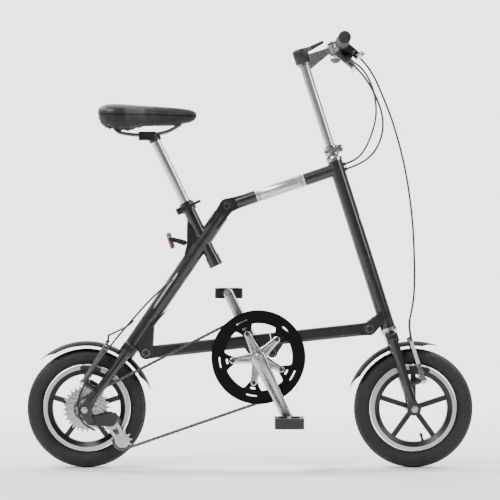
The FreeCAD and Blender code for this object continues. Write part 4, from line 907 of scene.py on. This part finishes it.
# %% Saddle shape
# Each station is x, the top's height, half the width and the skirt's lower edge, in millimetres.
SADDLE_STATIONS = (
    (-388, 906, 36, 882), (-382, 913, 54, 868), (-364, 919, 73, 857), (-340, 920, 77, 853),
    (-316, 919, 72, 854), (-290, 917, 57, 860), (-262, 915, 41, 866), (-234, 914, 30, 867),
    (-206, 912, 23, 867), (-178, 910, 19, 868), (-154, 907, 17, 871), (-139, 903, 14, 877),
    (-133, 897, 8, 884),
)


def saddle_section(top, half_width, low, points=22):
    """Half of a section from the crown to the skirt's inside, as (y, z)."""
    shoulder = low + (top - low) * 0.62
    found = []
    for step in range(points // 2 + 1):
        angle = math.radians(90 * step / (points // 2))
        rise = (top - shoulder) * math.cos(angle) ** 0.8
        found.append((half_width * math.sin(angle) ** 0.85, shoulder + rise))
    wall = min(9, half_width * 0.45)
    found.append((half_width * 0.99, (shoulder + low) / 2))
    found.append((half_width * 0.93, low + 3))
    found.append((half_width - wall * 0.7, low))
    found.append((half_width - wall, low + 3))
    roof = min(top - 14, low + (top - low) * 0.55)
    found.append((half_width - wall * 1.2, (low + roof) / 2))
    found.append((half_width - wall * 1.6, roof))
    return found


def saddle_body():
    mesh = bmesh.new()
    loops = []
    for x, top, half_width, low in SADDLE_STATIONS:
        half = saddle_section(top, half_width, low)
        full = half + [(-y, z) for y, z in reversed(half[1:])]
        loops.append([mesh.verts.new(place(x, z, y)) for y, z in full])
    for here, there in zip(loops, loops[1:]):
        for number in range(len(here)):
            following = (number + 1) % len(here)
            mesh.faces.new((here[number], here[following], there[following], there[number]))
    mesh.faces.new(loops[0][::-1])
    mesh.faces.new(loops[-1])
    return finished_mesh("saddle_cover", mesh)


def apply_modifiers(thing):
    """Replaces an object's mesh with what its modifiers make of it."""
    bpy.context.view_layer.update()
    made = bpy.data.meshes.new_from_object(thing.evaluated_get(bpy.context.evaluated_depsgraph_get()))
    thing.modifiers.clear()
    thing.data = made


def swell(thing, voxel_mm=5, pressure=4.0, cap_mm=3.5, frames=20):
    """Swells a closed pad by cloth simulation, and holds every point within a set distance of its start."""
    remesh = thing.modifiers.new("even_mesh", "REMESH")
    remesh.mode = "VOXEL"
    remesh.voxel_size = voxel_mm * MM
    apply_modifiers(thing)
    start = [vertex.co.copy() for vertex in thing.data.vertices]
    cloth = thing.modifiers.new("cover", "CLOTH")
    cloth.settings.use_pressure = True
    cloth.settings.uniform_pressure_force = pressure
    cloth.settings.effector_weights.gravity = 0
    scene = bpy.context.scene
    for number in range(1, frames + 1):
        scene.frame_set(number)
        bpy.context.view_layer.update()
    apply_modifiers(thing)
    scene.frame_set(1)
    for vertex, origin in zip(thing.data.vertices, start):
        moved = vertex.co - origin
        if moved.length > cap_mm * MM:
            vertex.co = origin + moved.normalized() * cap_mm * MM


saddle = saddle_body()
swell(saddle)
rounding = saddle.modifiers.new("rounding", "SUBSURF")
rounding.levels = 1
apply_modifiers(saddle)
for polygon in saddle.data.polygons:
    polygon.use_smooth = True
give(saddle, "seat", saddle_vinyl, ["saddle"])
print("saddle vertices", len(saddle.data.vertices))

# %% [markdown]
# The cover is cut in panels, and a piped seam runs round each side where the top panel meets the skirt. The
# seam is laid after the swelling, on the nearest points of the finished surface.

# %% Saddle seams
for side, sign in SIDES.items():
    guide = [place(x, low + (top - low) * 0.6, sign * half) for x, top, half, low in SADDLE_STATIONS]
    line = [saddle.closest_point_on_mesh(point)[1] for point in smooth_line(guide, 8)]
    line = [(a + b + c) / 3 for a, b, c in zip(line, line[1:], line[2:])]
    give(pipe(f"saddle_piping_{side}", line, 1.2, 10), "seat", gloss_polypropylene)
print("piping", 2)

# %% [markdown]
# ## Grips
# A grip is moulded rubber with rings that keep a hand from sliding, a flange at the inner end and a closed
# outer end. The whole outline is turned about the bar.

# %% Grips
GROOVE_STEP = 5


def grip_outline(length):
    """From the flange to the closed end, with a shallow groove every few millimetres."""
    outline = [(0, 0), (16.5, 0), (17.6, 1.5), (17.6, 3.5), (15.6, 5)]
    for number in range(int((length - 18) / GROOVE_STEP)):
        start = 8 + number * GROOVE_STEP
        outline += [(15.5, start), (15.5, start + 3.2), (14.5, start + 3.6), (14.5, start + 4.6)]
    return outline + [(15.5, length - 8), (15.4, length - 2), (13.5, length), (0, length)]


for side, sign in SIDES.items():
    low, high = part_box(f"grip_{side}")
    centre = (low + high) / 2
    inner = Vector((centre.x, low.y if sign > 0 else high.y, centre.z))
    outline = grip_outline((high.y - low.y) / MM)
    grip = lathe(f"ribbed_grip_{side}", inner, ACROSS * sign, outline, 40)
    give(grip, f"bar_{side}", kraton_grip, [f"grip_{side}"])
print("grips", 2)

# %% [markdown]
# ## Brakes
# Each arm presses a rubber pad against the rim. The pad is a curved block with water grooves, so it is built
# along the rim's own arc. A bent metal tube, the noodle, leads each brake's cable across to the arms, and a
# pleated boot keeps grit off the bare wire between them.

# %% Brake pads and noodles


def brake_pad(brake, axle, up, side):
    """A pad along the rim's arc, with three grooves across its face."""
    sign = SIDES[side]
    track = middle_plane(joint_at(f"{brake}_{side}_close")) - axle + up * 28 * MM
    middle = math.atan2(track.z, track.x)
    mesh = bmesh.new()
    loops = []
    steps = 28
    for step in range(steps + 1):
        share = step / steps - 0.5
        angle = middle + share * 52 / 103
        out = Vector((math.cos(angle), 0, math.sin(angle)))
        grooved = abs((abs(share) * 3.6) % 1 - 0.5) < 0.07
        taper = 1 - max(0, abs(share) - 0.44) * 5
        face = 17.2 + (1.2 if grooved else 0)
        section = ((-5.0, face + 0.4), (-4.2, face), (4.2, face), (5.0, face + 0.4), (5.0, 25.6), (4.0, 26.4),
                   (-4.0, 26.4), (-5.0, 25.6))
        loops.append([mesh.verts.new(axle + (out * (103 + r * taper) + ACROSS * sign * y) * MM)
                      for r, y in section])
    for here, there in zip(loops, loops[1:]):
        for number in range(8):
            following = (number + 1) % 8
            mesh.faces.new((here[number], here[following], there[following], there[number]))
    mesh.faces.new(loops[0][::-1])
    mesh.faces.new(loops[-1])
    pad = finished_mesh(f"{brake}_pad_{side}", mesh, smooth=False)
    give(pad, f"{brake}_{side}", brake_rubber)


def bellows(share):
    return 3.6 + 1.0 * math.cos(share * 2 * math.pi * 6)


def noodle_and_boot(name, line, wire_end, body):
    tube = pipe(f"{name}_noodle", smooth_line(line), 2.9)
    give(tube, body, moulded_nylon)
    start = line[-1]
    wire = pipe(f"{name}_inner_wire", [start, start.lerp(wire_end, 0.5), wire_end], 0.9, 8)
    give(wire, body, nickel_plate)
    pleats = [start.lerp(wire_end, 0.04 + 0.4 * step / 36) for step in range(37)]
    give(pipe(f"{name}_boot", pleats, bellows, 16), body, brake_rubber)


REAR_BRAKE_UP = ray(60)
for side in SIDES:
    brake_pad("front_brake", FRONT_AXLE, STEER_UP, side)
    brake_pad("rear_brake", REAR_AXLE, REAR_BRAKE_UP, side)
FRONT_NOODLE = [place(404, 376, -30), place(402, 362, -38), place(403, 345, -52), place(405, 333, -54),
                place(406, 328, -40)]
REAR_NOODLE = [place(-362, 334, 34), place(-364, 330, 46), place(-364, 324, 56), place(-364, 319, 50),
               place(-364, 318, 38)]
noodle_and_boot("front_brake", FRONT_NOODLE, place(406, 328, 44), "fork")
noodle_and_boot("rear_brake", REAR_NOODLE, place(-364, 318, -44), "rear_frame")
print("brake pads", 4)

# %% [markdown]
# ## Cables
# Each cable is a round jacket of 5 mm along its route. A cable runs from a bar past the stem and the
# steering to the frame, and each of those turns or slides. So its tube is cut into lengths, one for each
# joint that it crosses. A length that crosses a joint follows no body, and a length on one body follows it.

# %% Cable routes
BAR_CENTRE = (joint_at("bar_left_fold") + joint_at("bar_right_fold")) / 2 + STEER_AHEAD * 18 * MM
PORT_LOW = HEAD_BOTTOM + (STEER_UP * 417 + STEER_AHEAD * 24) * MM
PORT_HIGH = HEAD_BOTTOM + (STEER_UP * 430 + STEER_AHEAD * 24) * MM
LEVER_OUT = ray(-40)
LEVER_AXIS = ray(50)


def barrel_end(sign):
    """Where a cable leaves its brake lever's barrel, and the way it leaves."""
    leaving = Vector((24, -33 * sign, -14)).normalized()
    start = BAR_CENTRE + LEVER_OUT * 26 * MM + ACROSS * sign * 119 * MM
    return start + leaving * 22 * MM, leaving


def route(points):
    """A list of points in millimetres, some of which may be places already."""
    return [point if isinstance(point, Vector) else place(*point) for point in points]


right_end, right_way = barrel_end(-1)
left_end, left_way = barrel_end(1)
FRONT_BRAKE = route([right_end, right_end + right_way * 36 * MM, (311, 994, -52), (334, 945, -34),
                     (357, 890, -26), (375, 832, -24), (390, 772, -24), (401, 712, -24), (409, 652, -24),
                     (414, 592, -24), (416, 532, -24), (417, 474, -25), (414, 420, -27), (404, 376, -30)])
REAR_BRAKE = route([left_end, left_end + left_way * 36 * MM, (306, 994, 54), (320, 950, 38), (324, 900, 26),
                    (312, 850, 15), (292, 806, 6), PORT_HIGH + STEER_AHEAD * 26 * MM, PORT_HIGH])
SHIFT = route([(229, 1040, -101), (243, 1031, -81), (264, 1014, -64), (293, 983, -54), (318, 940, -46),
               (336, 892, -38), (336, 844, -26), (316, 798, -13), PORT_LOW + STEER_AHEAD * 34 * MM, PORT_LOW])
REAR_BRAKE_BACK = route([(-298, 372, 26), (-312, 358, 30), (-336, 346, 32), (-362, 334, 34)])
SHIFT_BACK = route([(-196, 478, -25), (-240, 440, -30), (-290, 385, -44), (-345, 320, -62), (-400, 245, -80),
                    (-428, 190, -82), (-432, 148, -82), (-416, 112, -79), (-388, 100, -73)])


def cable_length(line):
    return sum((b - a).length for a, b in zip(line, line[1:]))


def cable(name, points, crossings, cad_part):
    """Cuts a cable into lengths, one for each joint that it crosses.

    Each crossing is (share where it starts, share where it ends, first body, second body). A length that
    stays on one body has no second body.
    """
    line = smooth_line(points, 16)
    print(name, "length", round(cable_length(line), 3))
    joins = [int(len(line) * (a[1] + b[0]) / 2) for a, b in zip(crossings, crossings[1:])]
    cuts = [0] + joins + [len(line) - 1]
    for number, (first, last, crossing) in enumerate(zip(cuts, cuts[1:], crossings)):
        piece = pipe(f"{name}_{number}", line[first:last + 1], 2.5, 14)
        body = None if len(crossing) == 4 else crossing[2]
        give(piece, body, pvc_jacket, [cad_part])
        if len(crossing) == 4:
            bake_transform(piece)


cable("front_brake_cable_jacket", FRONT_BRAKE,
      [(0.0, 0.12, "bar_right", "stem"), (0.16, 0.6, "stem", "fork")], "front_brake_cable")
cable("rear_brake_cable_jacket", REAR_BRAKE,
      [(0.0, 0.22, "bar_left", "stem"), (0.26, 0.6, "stem", "fork"), (0.64, 0.92, "fork", "front_frame")],
      "rear_brake_cable")
cable("shift_cable_jacket", SHIFT,
      [(0.0, 0.22, "bar_right", "stem"), (0.26, 0.6, "stem", "fork"), (0.64, 0.92, "fork", "front_frame")],
      "shift_cable")
cable("rear_brake_cable_back", REAR_BRAKE_BACK, [(0, 1, "rear_frame")], "rear_brake_cable")
cable("shift_cable_back", SHIFT_BACK, [(0, 1, "rear_frame")], "shift_cable")

# %% [markdown]
# ## Small details
# The badge, the bands on the tubes and the bolt heads are what make the frame read as a made thing. A band
# is a thin sleeve a fraction of a millimetre over its tube. Bolts get a real hexagon socket.

# %% Bands, strip and badge
TOP_TUBE_START = place(-58.5, 664.2)
TOP_TUBE_AHEAD = (place(221.6, 758.6) - TOP_TUBE_START).normalized()
MAIN_TUBE_DOWN = (place(-306, 300.6) - TOP_TUBE_START).normalized()


def sleeve(name, start, axis, radius, length, material, body):
    outline = [(radius, 0), (radius + 0.35, 0.3), (radius + 0.35, length - 0.3), (radius, length)]
    return give(lathe(name, start, axis, outline, 56), body, material)


band_start = TOP_TUBE_START + TOP_TUBE_AHEAD * 78 * MM
sleeve("top_tube_band", band_start, TOP_TUBE_AHEAD, 15.9, 130, silver_foil, "front_frame")
for number, distance in enumerate((5, 9, 119, 123)):
    ring_start = band_start + TOP_TUBE_AHEAD * distance * MM
    sleeve(f"top_tube_band_ring_{number}", ring_start, TOP_TUBE_AHEAD, 16.2, 1.6, baked_enamel,
           "front_frame")


def curved_patch(name, start, axis, facing, radius, length, half_angle, material, body):
    """A thin patch that wraps part of the way round a tube, with rounded ends."""
    side = Vector(axis).cross(facing).normalized()
    mesh = bmesh.new()
    rows = []
    for step in range(17):
        along = step / 16
        width = half_angle * math.sqrt(max(0.02, 1 - (2 * along - 1) ** 8))
        row = []
        for lift in (0, 0.4):
            for turn in range(-4, 5):
                angle = math.radians(width * turn / 4)
                out = facing * math.cos(angle) + side * math.sin(angle)
                row.append(mesh.verts.new(start + axis * length * along * MM + out * (radius + lift) * MM))
        rows.append(row)
    for here, there in zip(rows, rows[1:]):
        for base in (0, 9):
            for turn in range(8):
                mesh.faces.new((here[base + turn], here[base + turn + 1], there[base + turn + 1],
                                there[base + turn]))
        for turn in (0, 8):
            mesh.faces.new((here[turn], here[turn + 9], there[turn + 9], there[turn]))
    for row in (rows[0], rows[-1]):
        for turn in range(8):
            mesh.faces.new((row[turn], row[turn + 1], row[turn + 10], row[turn + 9]))
    patch = finished_mesh(name, mesh)
    return give(patch, body, material)


def outward_normal(axis, towards):
    return (Vector(towards) - Vector(axis) * Vector(towards).dot(Vector(axis))).normalized()


strip_facing = outward_normal(MAIN_TUBE_DOWN, (-0.3, -1, 0.3))
strip_start = TOP_TUBE_START + MAIN_TUBE_DOWN * 210 * MM
# A pale grey strip along the front of the main tube.
curved_patch("main_tube_strip", strip_start, MAIN_TUBE_DOWN, strip_facing, 20, 110, 7, pale_strip_grey, "rear_frame")
badge_facing = outward_normal(STEER_UP, STEER_AHEAD)
badge_start = HEAD_BOTTOM + STEER_UP * 268 * MM
curved_patch("head_badge", badge_start, STEER_UP, badge_facing, 19, 30, 32, silver_foil, "front_frame")

# %% Bolts with hexagon sockets


def socket_bolt(name, centre, axis, radius, height, body, material=nickel_plate):
    """A low round head with a hexagon socket sunk into it."""
    first, second = across_frame(axis)
    axis = Vector(axis).normalized()
    outline = [(radius, 0, 36), (radius, height * 0.6, 36), (radius * 0.85, height, 36),
               (radius * 0.55, height, 6), (radius * 0.5, height * 0.25, 6)]
    mesh = bmesh.new()
    rings = []
    for reach, lift, corners in outline:
        ring = []
        for step in range(36):
            angle = 2 * math.pi * step / 36
            flat = 1.0
            if corners == 6:
                flat = math.cos(math.pi / 6) / math.cos((angle % (math.pi / 3)) - math.pi / 6)
            out = (first * math.cos(angle) + second * math.sin(angle)) * reach * flat
            ring.append(mesh.verts.new(Vector(centre) + (out + axis * lift) * MM))
        rings.append(ring)
    for low, high in zip(rings, rings[1:]):
        for step in range(36):
            following = (step + 1) % 36
            mesh.faces.new((low[step], low[following], high[following], high[step]))
    mesh.faces.new(rings[0][::-1])
    mesh.faces.new(rings[-1])
    give(finished_mesh(name, mesh, smooth=False), body, material)


for angle in tabs:
    tip_x, tip_z = polar(angle, BOLT_RADIUS)
    head = BOTTOM_BRACKET + place(tip_x, tip_z, -58.6)
    name = f"chainring_bolt_{round(angle)}"
    socket_bolt(name, head, -ACROSS, 5, 1.6, "crankset", blued_steel)

for side, sign in SIDES.items():
    for name, pivot, reach, body in (("front_pivot", joint_at("fold"), 23, "front_frame"),
                                     ("mid_pivot", joint_at("mid_hinge"), 23, "rear_link"),
                                     ("rear_pivot", joint_at("rear_hinge"), 23, "rear_link"),
                                     ("top_pivot", TOP_TUBE_START, 18.2, "rear_frame")):
        centre = pivot + ACROSS * sign * reach * MM
        socket_bolt(f"{name}_bolt_{side}", centre, ACROSS * sign, 8.5, 2.4, body, blued_steel)
    crank_centre = BOTTOM_BRACKET + ACROSS * sign * 75 * MM
    socket_bolt(f"crank_bolt_head_{side}", crank_centre, ACROSS * sign, 9.5, 2.0, "crankset")
print("bolts", 15)

# %% [markdown]
# A black moulded cap closes the top of the telescopic post. On the right bar the shifter has a rounded cover
# with two thumb paddles below it, which give the dark cluster beside the grip.

# %% Stem cap and shifter


def rounded_box(name, centre, sizes, radius, body, material=moulded_nylon):
    """A box with round edges, lying along the brake lever, its axis and the bar, in that order."""
    mesh = bmesh.new()
    bmesh.ops.create_cube(mesh, size=1)
    bmesh.ops.scale(mesh, vec=Vector(sizes) * MM, verts=mesh.verts)
    bmesh.ops.bevel(mesh, geom=mesh.edges[:] + mesh.verts[:], offset=radius * MM, segments=4, profile=0.5,
                    affect="EDGES")
    turn = Matrix((LEVER_OUT, LEVER_AXIS, ACROSS)).transposed().to_4x4()
    bmesh.ops.transform(mesh, verts=mesh.verts, matrix=Matrix.Translation(centre) @ turn)
    return give(finished_mesh(name, mesh), body, material)


STEM_TOP = HEAD_BOTTOM + STEER_UP * (1055.2 - 355.0) / STEER_UP.z * MM
CAP_OUTLINE = [(0, 3.3), (19.0, 3.3), (19.0, -30), (20.0, -29.5), (20.0, 2.5), (18.6, 5.6), (14, 7.6),
               (6, 8.4), (0, 8.5)]
cap = lathe("stem_top_cap", STEM_TOP, STEER_UP, CAP_OUTLINE, 48)
give(cap, "stem", moulded_nylon)
pod = BAR_CENTRE - ACROSS * 118 * MM + LEVER_OUT * 22 * MM - LEVER_AXIS * 20 * MM
rounded_box("shifter_cover", pod, (42, 27, 29), 7, "bar_right")
rounded_box("shifter_window", pod - ACROSS * 14.2 * MM + LEVER_AXIS * 2 * MM, (18, 10, 2), 0.9, "bar_right",
            gloss_polypropylene)
paddle_root = pod + LEVER_OUT * 20 * MM
rounded_box("shifter_paddle_long", paddle_root - LEVER_AXIS * 7 * MM, (34, 5, 13), 2.3, "bar_right")
rounded_box("shifter_paddle_short", paddle_root + LEVER_AXIS * 3 * MM, (22, 4.6, 11), 2.1, "bar_right")

# %% [markdown]
# ## Finish
# The size of the fixed model's box is printed.

# %% Sizes and the last line
bpy.context.view_layer.update()
print("cad", [round(x, 3) for x in cad_box[1] - cad_box[0]])
